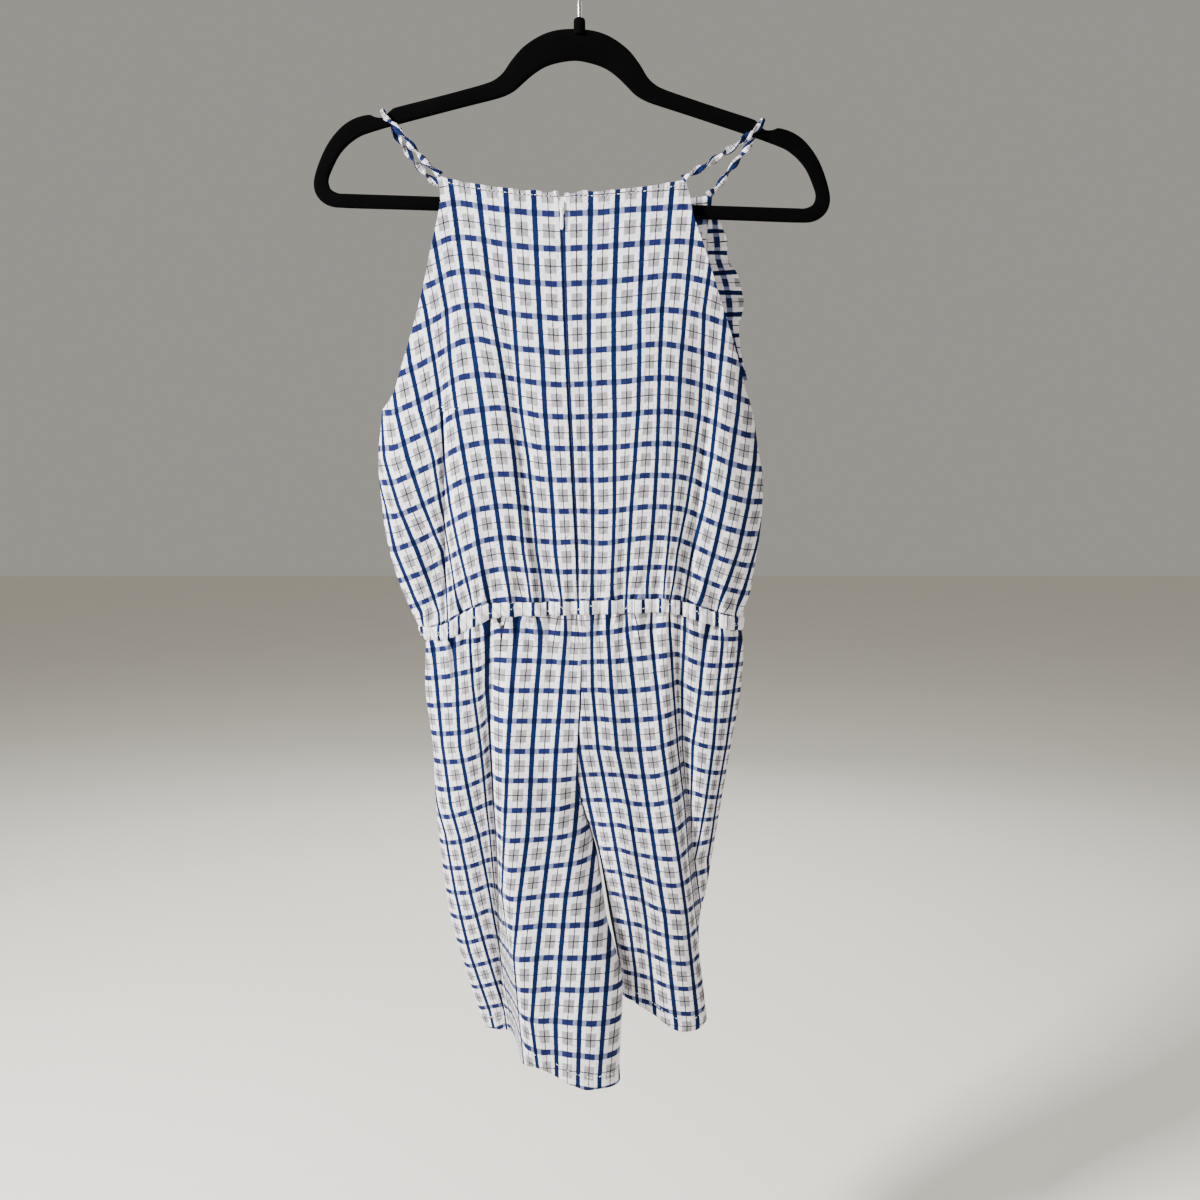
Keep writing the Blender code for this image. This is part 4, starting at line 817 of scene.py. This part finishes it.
class Nodes:
    """A short way to write a material's node tree."""

    def __init__(self, name, roughness):
        self.material = bpy.data.materials.new(name)
        self.material.use_nodes = True
        self.tree = self.material.node_tree
        self.shader = self.tree.nodes["Principled BSDF"]
        self.give("Roughness", roughness)

    def give(self, socket, value):
        self.shader.inputs[socket].default_value = value

    def add(self, kind, **settings):
        node = self.tree.nodes.new(kind)
        for key, value in settings.items():
            setattr(node, key, value)
        return node

    def plug(self, value, socket):
        if isinstance(value, bpy.types.NodeSocket):
            self.tree.links.new(value, socket)
        else:
            socket.default_value = value

    def math(self, operation, a, b=0.0, c=0.0):
        node = self.add("ShaderNodeMath", operation=operation)
        for value, socket in zip((a, b, c), node.inputs):
            self.plug(value, socket)
        return node.outputs[0]

    def times(self, a, b):
        return self.math("MULTIPLY", a, b)

    def line(self, value, slope, start):
        return self.math("MULTIPLY_ADD", value, slope, start)

    def near(self, distance, half_width, soft):
        """1 inside a stripe and 0 outside it, with a soft edge."""
        node = self.add("ShaderNodeMapRange", interpolation_type="SMOOTHSTEP")
        self.plug(distance, node.inputs["Value"])
        node.inputs["From Min"].default_value = half_width + soft
        node.inputs["From Max"].default_value = half_width - soft
        return node.outputs[0]

    def mix(self, factor, a, b):
        node = self.add("ShaderNodeMix", data_type="RGBA")
        self.plug(factor, node.inputs["Factor"])
        self.plug(a, node.inputs[6])
        self.plug(b, node.inputs[7])
        return node.outputs[2]

    def noise(self, vector, stretch, scale=1.0, detail=2.0):
        """Noise on a vector that is first scaled along its axes."""
        mapping = self.add("ShaderNodeMapping")
        self.plug(vector, mapping.inputs["Vector"])
        mapping.inputs["Scale"].default_value = stretch
        node = self.add("ShaderNodeTexNoise")
        self.plug(mapping.outputs[0], node.inputs["Vector"])
        node.inputs["Scale"].default_value = scale
        node.inputs["Detail"].default_value = detail
        return node.outputs["Fac"]

    def bump(self, height, strength, distance):
        node = self.add("ShaderNodeBump")
        node.inputs["Strength"].default_value = strength
        node.inputs["Distance"].default_value = distance
        self.plug(height, node.inputs["Height"])
        self.tree.links.new(node.outputs["Normal"], self.shader.inputs["Normal"])

    def colour(self, value):
        self.plug(value, self.shader.inputs["Base Color"])


WHITE = (0.90, 0.895, 0.93, 1.0)
WARM_WHITE = (0.90, 0.82, 0.85, 1.0)
LIGHT_GREY = (0.50, 0.485, 0.51, 1.0)
SQUARE_GREY = (0.195, 0.185, 0.205, 1.0)
PALE_BLUE = (0.062, 0.096, 0.245, 1.0)
DASH_BLUE = (0.0105, 0.0160, 0.078, 1.0)
STRIPE_BLUE = (0.0022, 0.0074, 0.043, 1.0)
STRIPE_WORN = (0.0058, 0.0150, 0.074, 1.0)
NAVY = (0.0014, 0.0050, 0.034, 1.0)
LINE_BLACK = (0.008, 0.008, 0.014, 1.0)

# Half widths of the check's parts and the softness of their edges, in shares of a repeat
STRIPE_HALF = 0.106
STRAP_STRIPE_HALF = 0.22
BAND_HALF = 0.093
COLUMN_HALF = 0.225
ROW_HALF = 0.208
UPRIGHT_LINE_HALF = 0.022
LEVEL_LINE_HALF = 0.015
SOFT_EDGE = 0.012
EVEN = (1.0, 1.0, 1.0)


def check_coordinates(n):
    """The cloth's own length and width in millimetres, and its distances from the nearest stripe and band."""
    uv = n.add("ShaderNodeUVMap", uv_map="UVMap").outputs[0]
    mapping = n.add("ShaderNodeMapping")
    n.plug(uv, mapping.inputs["Vector"])
    mapping.inputs["Scale"].default_value = (REPEAT_WIDE, REPEAT_HIGH, 1.0)
    cloth = mapping.outputs[0]
    # The threads waver a little, so that no stripe has a ruled edge
    waver_u = n.times(n.math("SUBTRACT", n.noise(cloth, (0.9, 0.35, 1.0)), 0.5), 0.035)
    waver_v = n.times(n.math("SUBTRACT", n.noise(cloth, (0.35, 0.9, 1.0), 1.1), 0.5), 0.030)
    parts = n.add("ShaderNodeSeparateXYZ")
    n.plug(uv, parts.inputs[0])
    from_stripe = n.math("PINGPONG", n.math("ADD", parts.outputs[0], waver_u), 0.5)
    from_band = n.math("PINGPONG", n.math("ADD", parts.outputs[1], waver_v), 0.5)
    return cloth, from_stripe, from_band


def check_colour(n, cloth, from_stripe, from_band, stripe_half):
    """White and grey cloth, with thin black lines, then the blue bands, then the darker stripes over them."""
    from_column = n.math("SUBTRACT", 0.5, from_stripe)
    from_row = n.math("SUBTRACT", 0.5, from_band)
    column = n.near(from_column, COLUMN_HALF, SOFT_EDGE)
    upright_line = n.near(from_column, UPRIGHT_LINE_HALF, 0.010)
    band = n.near(from_band, BAND_HALF, SOFT_EDGE)
    row = n.near(from_row, ROW_HALF, 0.014)
    level_line = n.near(from_row, LEVEL_LINE_HALF, 0.009)
    # Threads of uneven strength: streaks down the stripes and across the bands
    streak_u = n.noise(cloth, (2.6, 0.10, 1.0), detail=3.0)
    streak_v = n.noise(cloth, (0.10, 2.6, 1.0), detail=3.0)
    ground = n.mix(n.noise(cloth, (0.045, 0.06, 1.0)), WHITE, WARM_WHITE)
    ground = n.mix(n.times(column, n.line(streak_u, 0.35, 0.05)), ground, LIGHT_GREY)
    ground = n.mix(n.times(row, 0.08), ground, LIGHT_GREY)
    ground = n.mix(n.times(n.times(column, row), n.line(streak_v, 0.35, 0.62)), ground, SQUARE_GREY)
    ground = n.mix(level_line, ground, LINE_BLACK)
    ground = n.mix(n.times(band, n.line(streak_v, 0.35, 0.70)), ground, PALE_BLUE)
    ground = n.mix(n.times(band, column), ground, DASH_BLUE)
    ground = n.mix(n.times(upright_line, n.line(band, -0.5, 1.0)), ground, LINE_BLACK)
    blue = n.mix(band, n.mix(streak_u, STRIPE_BLUE, STRIPE_WORN), NAVY)
    return n.mix(n.near(from_stripe, stripe_half, SOFT_EDGE), ground, blue)


def check_cloth(name, stripe_half):
    """White cloth with a blue and grey check, in soft crinkled cotton."""
    n = Nodes(name, 0.88)
    cloth, from_stripe, from_band = check_coordinates(n)
    n.colour(check_colour(n, cloth, from_stripe, from_band, stripe_half))
    n.give("Sheen Weight", 0.015)
    n.give("Specular IOR Level", 0.06)
    crinkle = n.noise(cloth, (0.22, 0.34, 1.0), detail=3.0)
    weave = n.noise(cloth, (2.2, 2.2, 1.0), detail=1.0)
    drape = n.noise(cloth, (0.050, 0.016, 1.0))
    n.bump(n.line(drape, 1.7, n.line(weave, 0.20, crinkle)), 0.85, 0.0024)
    return n.material


def grained(name, roughness, stretch, colours, bump, scale=1.0, detail=2.0, metal=0.0):
    """A plain material whose colour and surface vary with one grain."""
    n = Nodes(name, roughness)
    grain = n.noise(n.add("ShaderNodeTexCoord").outputs["Object"], stretch, scale, detail)
    n.colour(n.mix(grain, *[colour + (1.0,) for colour in colours]))
    n.give("Metallic", metal)
    n.bump(grain, *bump)
    return n.material


def black_flock():
    n = Nodes("black_flock", 0.96)
    place = n.add("ShaderNodeTexCoord").outputs["Object"]
    pile = n.noise(place, EVEN, 2400.0)
    rubbed = n.noise(place, EVEN, 26.0, 3.0)
    n.colour(n.mix(n.times(pile, rubbed), (0.0004, 0.0004, 0.0005, 1.0), (0.0030, 0.0030, 0.0033, 1.0)))
    n.give("Sheen Weight", 0.004)
    n.give("Sheen Roughness", 0.6)
    n.give("Specular IOR Level", 0.015)
    n.bump(pile, 0.6, 0.0005)
    return n.material


check = check_cloth("check_cloth", STRIPE_HALF)
strap_check = check_cloth("strap_cloth", STRAP_STRIPE_HALF)
thread = grained(
    "white_thread", 0.7, EVEN, ((0.86, 0.86, 0.85), (0.70, 0.70, 0.70)), (0.3, 0.0002), scale=1800.0)
tape = grained(
    "zip_tape_weave", 0.85, (900.0, 900.0, 2600.0), ((0.80, 0.80, 0.81), (0.62, 0.63, 0.66)), (0.4, 0.0003))
enamel = grained(
    "white_zip", 0.34, EVEN, ((0.86, 0.86, 0.85), (0.76, 0.75, 0.73)), (0.08, 0.0003), 420.0, 3.0)
flock = black_flock()
metal = grained(
    "hook_metal", 0.24, (900.0, 900.0, 60.0), ((0.66, 0.66, 0.67), (0.50, 0.50, 0.51)), (0.12, 0.0002),
    metal=1.0)


# Sewing


def turned_edge(points, from_edge, turn, outwards, thickness=0.35):
    """Lifts the doubled cloth beside an edge and sinks the line of its stitches."""
    lift = thickness * smooth(turn + 0.8, turn - 0.8, from_edge)
    groove = 0.4 * np.exp(-((from_edge - turn) / 0.9) ** 2)
    return points + outwards * (lift - groove)[..., None]


def turned_line(points, from_edge, turn):
    """The line of the stitches, at the same distance from the edge all along it."""
    sign = 1.0 if from_edge[0, 0] < from_edge[-1, 0] else -1.0
    middle_columns = range(2, points.shape[1] - 2)
    return np.array([place_at(sign * turn, sign * from_edge[:, c], points[:, c]) for c in middle_columns])


def stitch_row(name, line, normals, length=STITCH, gap=STITCH_GAP, radius=THREAD, stand=THREAD_STAND):
    """A row of stitches on a line of points, each a short bowed thread."""
    along = running(line)
    count = int(along[-1] / (length + gap))
    shape = bmesh.new()
    for i in range(count):
        start = (i + 0.5) * along[-1] / count - length / 2
        rings = []
        for share, rise, width in STITCH_BOW:
            at = start + length * share
            place = Vector(place_at(at, along, line))
            ahead = Vector(place_at(at + 0.5, along, line)) - place
            if ahead.length < 1e-6:
                ahead = Vector(place_at(at - 0.5, along, line)) - place
            up = Vector(place_at(at, along, normals)).normalized()
            across = ahead.cross(up).normalized()
            thick = radius * width
            ring = round_ring(place + up * (stand + rise), across * thick, up * thick, 5)
            rings.append(add_ring(shape, ring))
        skin(shape, rings)
    return dress(finished(name, shape), thread)


def cloth_panel(node, points, u, v):
    """One panel as a thin shell of the check cloth, in the place of its solid."""
    thing = grid_mesh(node + "_cloth", points, u, v)
    shell = thing.modifiers.new("shell", "SOLIDIFY")
    shell.thickness = SHELL * MM
    shell.offset = 0.0
    shell.use_even_offset = False
    return dress(thing, check, nodes=[node])


# The pieces


def rippled_neck(points, is_back, out, from_neck):
    """Small ripples all along the neck edge, and larger ones beside the zip."""
    x = points[..., 0]
    ripple = 0.5 * np.exp(-from_neck / 7.0) * np.sin(x / 5.1 + 1.3 * np.sin(x / 13.0))
    points = points + out * ripple[..., None]
    if is_back:
        x = points[..., 0]
        near_zip = np.exp(-((x + 14.0) / 30.0) ** 2) * np.exp(-from_neck / 5.0)
        points[..., 2] += 1.3 * near_zip * np.sin(x / 3.4)
        points = points + out * (1.2 * near_zip * np.cos(x / 3.4))[..., None]
    return points


def make_bodice():
    made = {}
    rows = spaced(150, 1.15, True)
    for name, is_back, side, columns in (
        ("back_bodice_left", True, "left", 190),
        ("back_bodice_right", True, "right", 180),
        ("front_bodice", False, "both", 200),
    ):
        points = bodice_grid(is_back, side, spaced(columns), rows)
        out = outwards_of(points, is_back)
        from_neck = edge_distance(points, True)
        points = rippled_neck(points, is_back, out, from_neck)
        points = turned_edge(points, from_neck, NECK_TURN, out)
        made[name] = cloth_panel(name, points, *bodice_counts(is_back, points)), points
        stitch_row("neck_stitches_" + name, turned_line(points, from_neck, NECK_TURN), out[3, 2:-2])
    return made


def puckered_hem(points, out, from_hem):
    """Puckers along the hem's stitches, and a slightly wavy edge."""
    x = points[..., 0]
    pucker = 0.45 * np.exp(-((from_hem - HEM_TURN) / 5.0) ** 2)
    pucker = pucker * np.sin(x / 1.9 + 1.1 * np.sin(x / 6.0))
    scallop = 0.8 * np.exp(-from_hem / 5.0) * np.sin(x / 4.2 + 0.9 * np.sin(x / 9.0))
    return points + out * (pucker + scallop)[..., None]


def make_legs():
    made = []
    for side, is_back in (("left", True), ("left", False), ("right", True), ("right", False)):
        name = ("back_leg_" if is_back else "front_leg_") + side
        points = leg_grid(side, is_back, spaced(170 if is_back else 100), spaced(170, 1.1))
        out = outwards_of(points, is_back)
        from_hem = edge_distance(points, False)
        points = puckered_hem(points, out, from_hem)
        points = turned_edge(points, from_hem, HEM_TURN, out, 0.5)
        made.append(cloth_panel(name, points, *leg_counts(side, is_back, points)))
        stitch_row("hem_stitches_" + name, turned_line(points, from_hem, HEM_TURN), out[-8, 2:-2])
    return made


def casing_frame(turn, is_back):
    """The casing's lower and upper lines, the height of its lower one, and its outward directions."""
    there = lerp(-math.pi / 2, math.pi / 2, turn * 2)
    back_again = lerp(-math.pi / 2, math.pi / 2, 2 - turn * 2)
    angle = np.where(is_back, there, back_again)
    faces = []
    for flag in (True, False):
        z = waist_z(side_share(angle), flag)
        high = bodice_surface(flag, angle, z + CASING_HEIGHT + CASING_GAP, creases=False)
        faces.append((leg_top(flag, angle, z - CASING_GAP), high, z[:, None]))
    low, high, base = [np.where(is_back[:, None], *pair) for pair in zip(*faces)]
    middle = (low + high) / 2
    tangent = np.roll(middle, -1, axis=0) - np.roll(middle, 1, axis=0)
    outwards = unit(np.stack([tangent[:, 1], -tangent[:, 0], np.zeros(len(turn))], axis=-1))
    return low, high, base[:, 0], middle, outwards


def casing_points(low, high, base, outwards, around, puff, fine):
    points = np.zeros((len(around), len(base), 3))
    for k, a in enumerate(around):
        height = 0.5 + 0.5 * math.sin(a)
        depth = 0.5 * CASING_WALL * math.cos(a)
        # The stitches hold the puffs in along their middle
        waist = 1.0 - 0.55 * math.exp(-((height - 0.5) / 0.13) ** 2)
        outside = depth > 0
        bulge = depth * (0.8 + 1.5 * puff * waist) + 0.55 * fine * math.cos(a) if outside else depth * 0.7
        place = lerp(low, high, height)
        place[:, 2] = base + CASING_HEIGHT * height + (height - 0.5) * (1.3 * puff + 0.7 * fine)
        points[k] = place + outwards * np.reshape(bulge, (-1, 1))
    return points


def closed_up(values):
    """A ring's values with the first one once more at its end, so that the sheet can be welded there."""
    return np.concatenate([values, values[:1]])


def make_casing():
    """The elastic's casing: a closed ring of soft uneven puffs, with a zigzag of stitches."""
    turn = np.linspace(0.0, 1.0, 700, endpoint=False)
    is_back = turn < 0.5
    low, high, base, middle, outwards = casing_frame(turn, is_back)
    around = np.linspace(0.0, 2 * math.pi, 22, endpoint=False)
    phase = 2 * math.pi * CASING_PUFFS * turn
    puff = np.abs(np.cos(phase + 0.8 * np.sin(7 * 2 * math.pi * turn))) ** 0.7
    fine = np.sin(3.3 * phase + 2.0 * np.sin(phase * 0.41))
    points = casing_points(low, high, base, outwards, around, puff, fine)
    # The stripes run on from the bodice, and the casing lies between two bands of the check
    seen = stripe_count(BACK_BODICE_STRIPES, FIRST_BODICE_STRIPE, points[..., 0], CASING_CHART_Z)
    arc = running(closed_up(middle))[:-1]
    unseen = (arc - np.interp(0.75, turn, arc)) / (REPEAT_WIDE * 0.74)
    u = np.where(is_back, seen, unseen)
    u = np.concatenate([u, 2 * u[:, -1:] - u[:, -2:-1]], axis=1)
    v = 12.20 + 0.055 * np.sin(around)
    points = np.concatenate([points, points[:, :1]], axis=1)
    thing = grid_mesh("waist_casing_cloth", closed_up(points), closed_up(u), closed_up(v)[:, None])
    weld(thing)
    dress(thing, check, nodes=["waist_casing"])
    zigzag = middle + outwards * (0.5 * CASING_WALL * (1.0 + 0.475 * puff))[:, None]
    zigzag[:, 2] = base + CASING_HEIGHT * (0.5 + 0.16 * np.where(np.sin(phase * 2.0) > 0, 1.0, -1.0))
    stitch_row("casing_stitches", closed_up(zigzag), closed_up(outwards), 2.2, 1.0, 0.34, 0.15)


def ruffle_on_skin(x, z, stand):
    """Places that stand off the front bodice by a given distance."""
    middle, half = body_oval(z)
    angle = side_angle((x - middle) / half)
    here, ahead, behind = [
        bodice_surface(False, angle + shift, z, creases=False) for shift in (0.0, 0.01, -0.01)]
    tangent = ahead - behind
    normal = unit(np.stack([-tangent[..., 1], tangent[..., 0], np.zeros_like(x)], axis=-1))
    place = here + normal * stand[..., None]
    return place[..., 0], place[..., 1]


def make_ruffle(side, table, front_points):
    """A fluttering strip on the front armhole: the right one stands free, the left one lies on the bodice."""
    z = np.linspace(table[1][0][0], table[1][-1][0], 220)[:, None]
    free, lift = read(table, "free", z), read(table, "lift", z)
    seam = place_at_height(front_points[:, -1 if side == "right" else 0], z[:, 0])
    seam_x, seam_y = seam[:, :1], seam[:, 1:2]
    across = np.linspace(0.0, 1.0, 26)[None, :]
    flutter = 0.7 * np.sin(z / 2.6 + 1.2 * np.sin(z / 7.0)) * across ** 1.6
    if side == "right":
        x = seam_x + lerp(SEAM_GAP + 0.4, free - seam_x, across)
        y = seam_y + lift * across ** 1.3 - 2.0 * across + flutter
    else:
        stand = WALL / 2 + SEAM_GAP + RUFFLE_WALL / 2 + 0.2
        stand = stand + (lift + 1.5) * across ** 0.8 + flutter * 0.5
        x, y = ruffle_on_skin(lerp(seam_x + 0.6, free, across), z + 0.0 * across, stand)
    points = np.stack(np.broadcast_arrays(x, y, z), axis=-1)
    u = running(points[:, -1])[:, None] / REPEAT_WIDE
    v = (across - 0.5) * np.abs(free - seam_x) / REPEAT_HIGH
    return cloth_panel("ruffle_" + side, points, u, v)


def curve_points(route, count):
    """Even steps along a smooth curve through a route, and the curve's length."""
    route = np.array(route, float)
    fine = []
    for i in range(len(route) - 1):
        p0, p1 = route[max(i - 1, 0)], route[i]
        p2, p3 = route[i + 1], route[min(i + 2, len(route) - 1)]
        t = np.linspace(0.0, 1.0, 12, endpoint=False)[:, None]
        fine.append(0.5 * (2 * p1 + (p2 - p0) * t + (2 * p0 - 5 * p1 + 4 * p2 - p3) * t ** 2
                           + (3 * p1 - p0 - 3 * p2 + p3) * t ** 3))
    fine = np.concatenate(fine + [route[-1:]])
    along = running(fine)
    return place_at(np.linspace(0.0, along[-1], count), along, fine), along[-1]


def strap_axes(tangent):
    """The two directions across a strap, the first one level with the garment's plane."""
    side = Vector((abs(tangent.z), 0.0, -math.copysign(tangent.x, tangent.x * tangent.z)))
    side += Vector((1.0, 0.0, 0.0)) * abs(tangent.y)
    side = (side - tangent * side.dot(tangent)).normalized()
    return side, tangent.cross(side)


def strap_twist(from_crossing, span):
    """The strap's turn: whole half turns from where it rests on the arm to its sewn end."""
    half_turns = round((span - STRAP_REST) / STRAP_HALF_TURN)
    return math.pi * half_turns * min(max((from_crossing - STRAP_REST) / (span - STRAP_REST), 0.0), 1.0)


def strap_section(twist, bunch, sides):
    """The outline of the pressed tube, whose two edges are fuller than its middle."""
    half_width, half_thick = lerp(3.3, 2.2, bunch), lerp(1.4, 1.75, bunch)
    cos, sin = math.cos(twist), math.sin(twist)
    places = []
    for k in range(sides):
        a = 2 * math.pi * k / sides
        pinch = 1.0 - 0.22 * (1.0 - bunch) * math.exp(-(math.cos(a) / 0.35) ** 2)
        du, dv = half_width * math.cos(a), half_thick * math.sin(a) * pinch
        places.append((du * cos - dv * sin, du * sin + dv * cos))
    return places


def make_strap(name, route):
    """A twisted tube of check cloth, bunched where it crosses the hanger's arm."""
    stations, sides = 260, 20
    path, length = curve_points(route, stations)
    crossing = int(np.argmax(path[:, 2]))
    step = length / (stations - 1)
    points = np.zeros((sides, stations, 3))
    for i in range(stations):
        tangent = Vector(path[min(i + 1, stations - 1)] - path[max(i - 1, 0)]).normalized()
        side, other = strap_axes(tangent)
        span = (crossing if i <= crossing else stations - 1 - crossing) * step
        from_crossing = abs(i - crossing) * step
        bunch = 1.0 - float(smooth(STRAP_REST * 0.6, STRAP_REST * 1.8, from_crossing))
        for k, (a, b) in enumerate(strap_section(strap_twist(from_crossing, span), bunch, sides)):
            points[k, i] = path[i] + np.array(side * a + other * b)
    # One edge of the tube is blue, so that the twist shows as slanting bars
    along = np.arange(stations)[None, :] * step
    u = closed_up(np.arange(sides)[:, None] / sides) + 0.10 * np.sin(along / STRAP_WANDER)
    thing = grid_mesh(name + "_cloth", closed_up(points), u, along / REPEAT_HIGH * 1.4)
    weld(thing)
    return dress(thing, strap_check, nodes=[name])


def hanger_outline():
    """Outer and inner edges all round the hanger, on a curve gentle enough to keep the bar straight."""
    mirrored = [(-ox, oz, -ix, iz) for ox, oz, ix, iz in reversed(HANGER_HALF[1:])]
    stations = np.array(list(HANGER_HALF) + [HANGER_BAR_MIDDLE] + mirrored, float)
    count = len(stations)
    fine = []
    for i in range(count):
        p0, p1 = stations[i - 1], stations[i]
        p2, p3 = stations[(i + 1) % count], stations[(i + 2) % count]
        reach = np.linalg.norm(p2[:2] - p1[:2])
        m1 = (p2 - p0) * min(0.5, reach / max(np.linalg.norm(p2[:2] - p0[:2]), 1e-6))
        m2 = (p3 - p1) * min(0.5, reach / max(np.linalg.norm(p3[:2] - p1[:2]), 1e-6))
        for t in (0.0, 0.2, 0.4, 0.6, 0.8):
            fine.append((2 * t**3 - 3 * t**2 + 1) * p1 + (t**3 - 2 * t**2 + t) * m1
                        + (3 * t**2 - 2 * t**3) * p2 + (t**3 - t**2) * m2)
    return fine


def make_hanger():
    """The hanger's flocked body with a rounded section, and the collar that takes the hook."""
    tilt = Matrix.Rotation(HANGER_TILT, 3, "Y")
    shape = bmesh.new()
    rings = []
    for ox, oz, ix, iz in hanger_outline():
        places = []
        for k in range(24):
            a = 2 * math.pi * k / 24
            across = 0.5 - 0.5 * math.copysign(abs(math.cos(a)) ** 0.55, math.cos(a))
            out = math.copysign(abs(math.sin(a)) ** 0.62, math.sin(a))
            places.append(tilt @ Vector((lerp(ox, ix, across), out * HANGER_THICK / 2, lerp(oz, iz, across))))
        rings.append(add_ring(shape, places))
    skin(shape, rings, closed=True)
    dress(finished("hanger_body", shape), flock, nodes=["hanger_frame"])
    collar = bmesh.new()
    ring = add_ring(collar, [(r, 0.0, z) for r, z in COLLAR])
    edges = [collar.edges.new(pair) for pair in zip(ring, ring[1:])]
    bmesh.ops.spin(collar, geom=ring + edges, cent=(0, 0, 0), axis=(0, 0, 1), angle=2 * math.pi, steps=40)
    bmesh.ops.remove_doubles(collar, verts=collar.verts, dist=0.00001)
    dress(finished("hanger_collar", collar), flock)


def make_hook():
    """The round wire hook, swept along its shank and its loop."""
    radius = HOOK_INNER_RADIUS + HOOK_WIRE / 2
    route = [(x, 0.0, z) for x, z in HOOK_SHANK]
    for k in range(17):
        angle = lerp(*HOOK_LOOP, k / 16)
        route.append((radius * math.cos(angle), 0.0, -HOOK_INNER_RADIUS + radius * math.sin(angle)))
    path, _ = curve_points(route, 160)
    last = len(path) - 1
    shape = bmesh.new()
    rings = []
    for i, place in enumerate(path):
        tangent = Vector(path[min(i + 1, last)] - path[max(i - 1, 0)]).normalized()
        side = tangent.cross(Vector((0, 1, 0))).normalized()
        thick = HOOK_WIRE / 2 * (0.55 if i in (0, last) else 1.0)
        rings.append(add_ring(shape, round_ring(Vector(place), side * thick, Vector((0, thick, 0)), 16)))
    skin(shape, rings)
    dress(finished("hook_wire_fine", shape), metal, nodes=["hanger_hook"])


def make_zip_teeth(left, right):
    """The zip's coil in the notch: small teeth on the two tapes, above and below the slider."""
    shape = bmesh.new()
    for edge, sign in ((left[:, -1], 1.0), (right[:, -1], -1.0)):
        for z in np.arange(-233.0, -208.0, 1.4):
            behind_slider = -230.5 < z < -220.5
            if behind_slider:
                continue
            place = Vector(place_at_height(edge, z)) + Vector((sign * 1.0, 1.3, 0.0))
            made = bmesh.ops.create_cube(shape, size=1.0)
            for vert in made["verts"]:
                vert.co = (Vector((vert.co.x * 1.5, vert.co.y * 0.9, vert.co.z * 0.75)) + place) * MM
    thing = finished("zip_teeth", shape, soft=False)
    rounded = thing.modifiers.new("rounded", "BEVEL")
    rounded.width = 0.00015
    rounded.segments = 1
    dress(thing, enamel)


def finish_cad_nodes():
    for node, material in (("zip_tape", tape), ("zip_slider", enamel), ("zip_pull", enamel)):
        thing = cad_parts[node]
        thing.data.materials.clear()
        thing.data.materials.append(material)


def make_camera():
    data = bpy.data.cameras.new("camera")
    data.lens = CAMERA_LENS
    data.sensor_width = 36.0
    data.clip_start = 0.01
    data.clip_end = 100.0
    camera = linked("camera", data)
    camera.location = CAMERA_PLACE
    camera.rotation_euler = (CAMERA_PITCH, 0.0, 0.0)
    bpy.context.scene.camera = camera


def make_floor():
    mesh = bpy.data.meshes.new("floor")
    corners = [(-1, -1), (1, -1), (1, 1), (-1, 1)]
    mesh.from_pydata([(x * FLOOR_REACH, y * FLOOR_REACH, FLOOR_Z) for x, y in corners], [], [(0, 1, 2, 3)])
    floor = linked("floor", mesh)
    n = Nodes("pale_floor", 0.9)
    grain = n.noise(n.add("ShaderNodeTexCoord").outputs["Object"], EVEN, 3.0)
    n.colour(n.mix(grain, (0.90, 0.87, 0.79, 1.0), (0.86, 0.83, 0.75, 1.0)))
    mesh.materials.append(n.material)


def make_light():
    world = bpy.data.worlds.new("world")
    world.use_nodes = True
    back = world.node_tree.nodes["Background"]
    back.inputs["Color"].default_value = WORLD_COLOUR
    back.inputs["Strength"].default_value = WORLD_STRENGTH
    bpy.context.scene.world = world
    for name, place, size, power in LAMPS:
        data = bpy.data.lights.new(name, "AREA")
        data.size = size
        data.energy = power
        lamp = linked(name, data)
        lamp.location = place
        aim = Vector(LAMP_AIM) - Vector(place)
        lamp.rotation_euler = aim.to_track_quat("-Z", "Y").to_euler()


make_camera()
make_floor()
make_light()
bodice = make_bodice()
legs = make_legs()
make_casing()
front_points = bodice["front_bodice"][1]
ruffles = [make_ruffle("right", RIGHT_RUFFLE, front_points), make_ruffle("left", LEFT_RUFFLE, front_points)]
make_strap("strap_left", LEFT_STRAP)
make_strap("strap_right", RIGHT_STRAP)
make_hanger()
make_hook()
make_zip_teeth(bodice["back_bodice_left"][1], bodice["back_bodice_right"][1])
finish_cad_nodes()
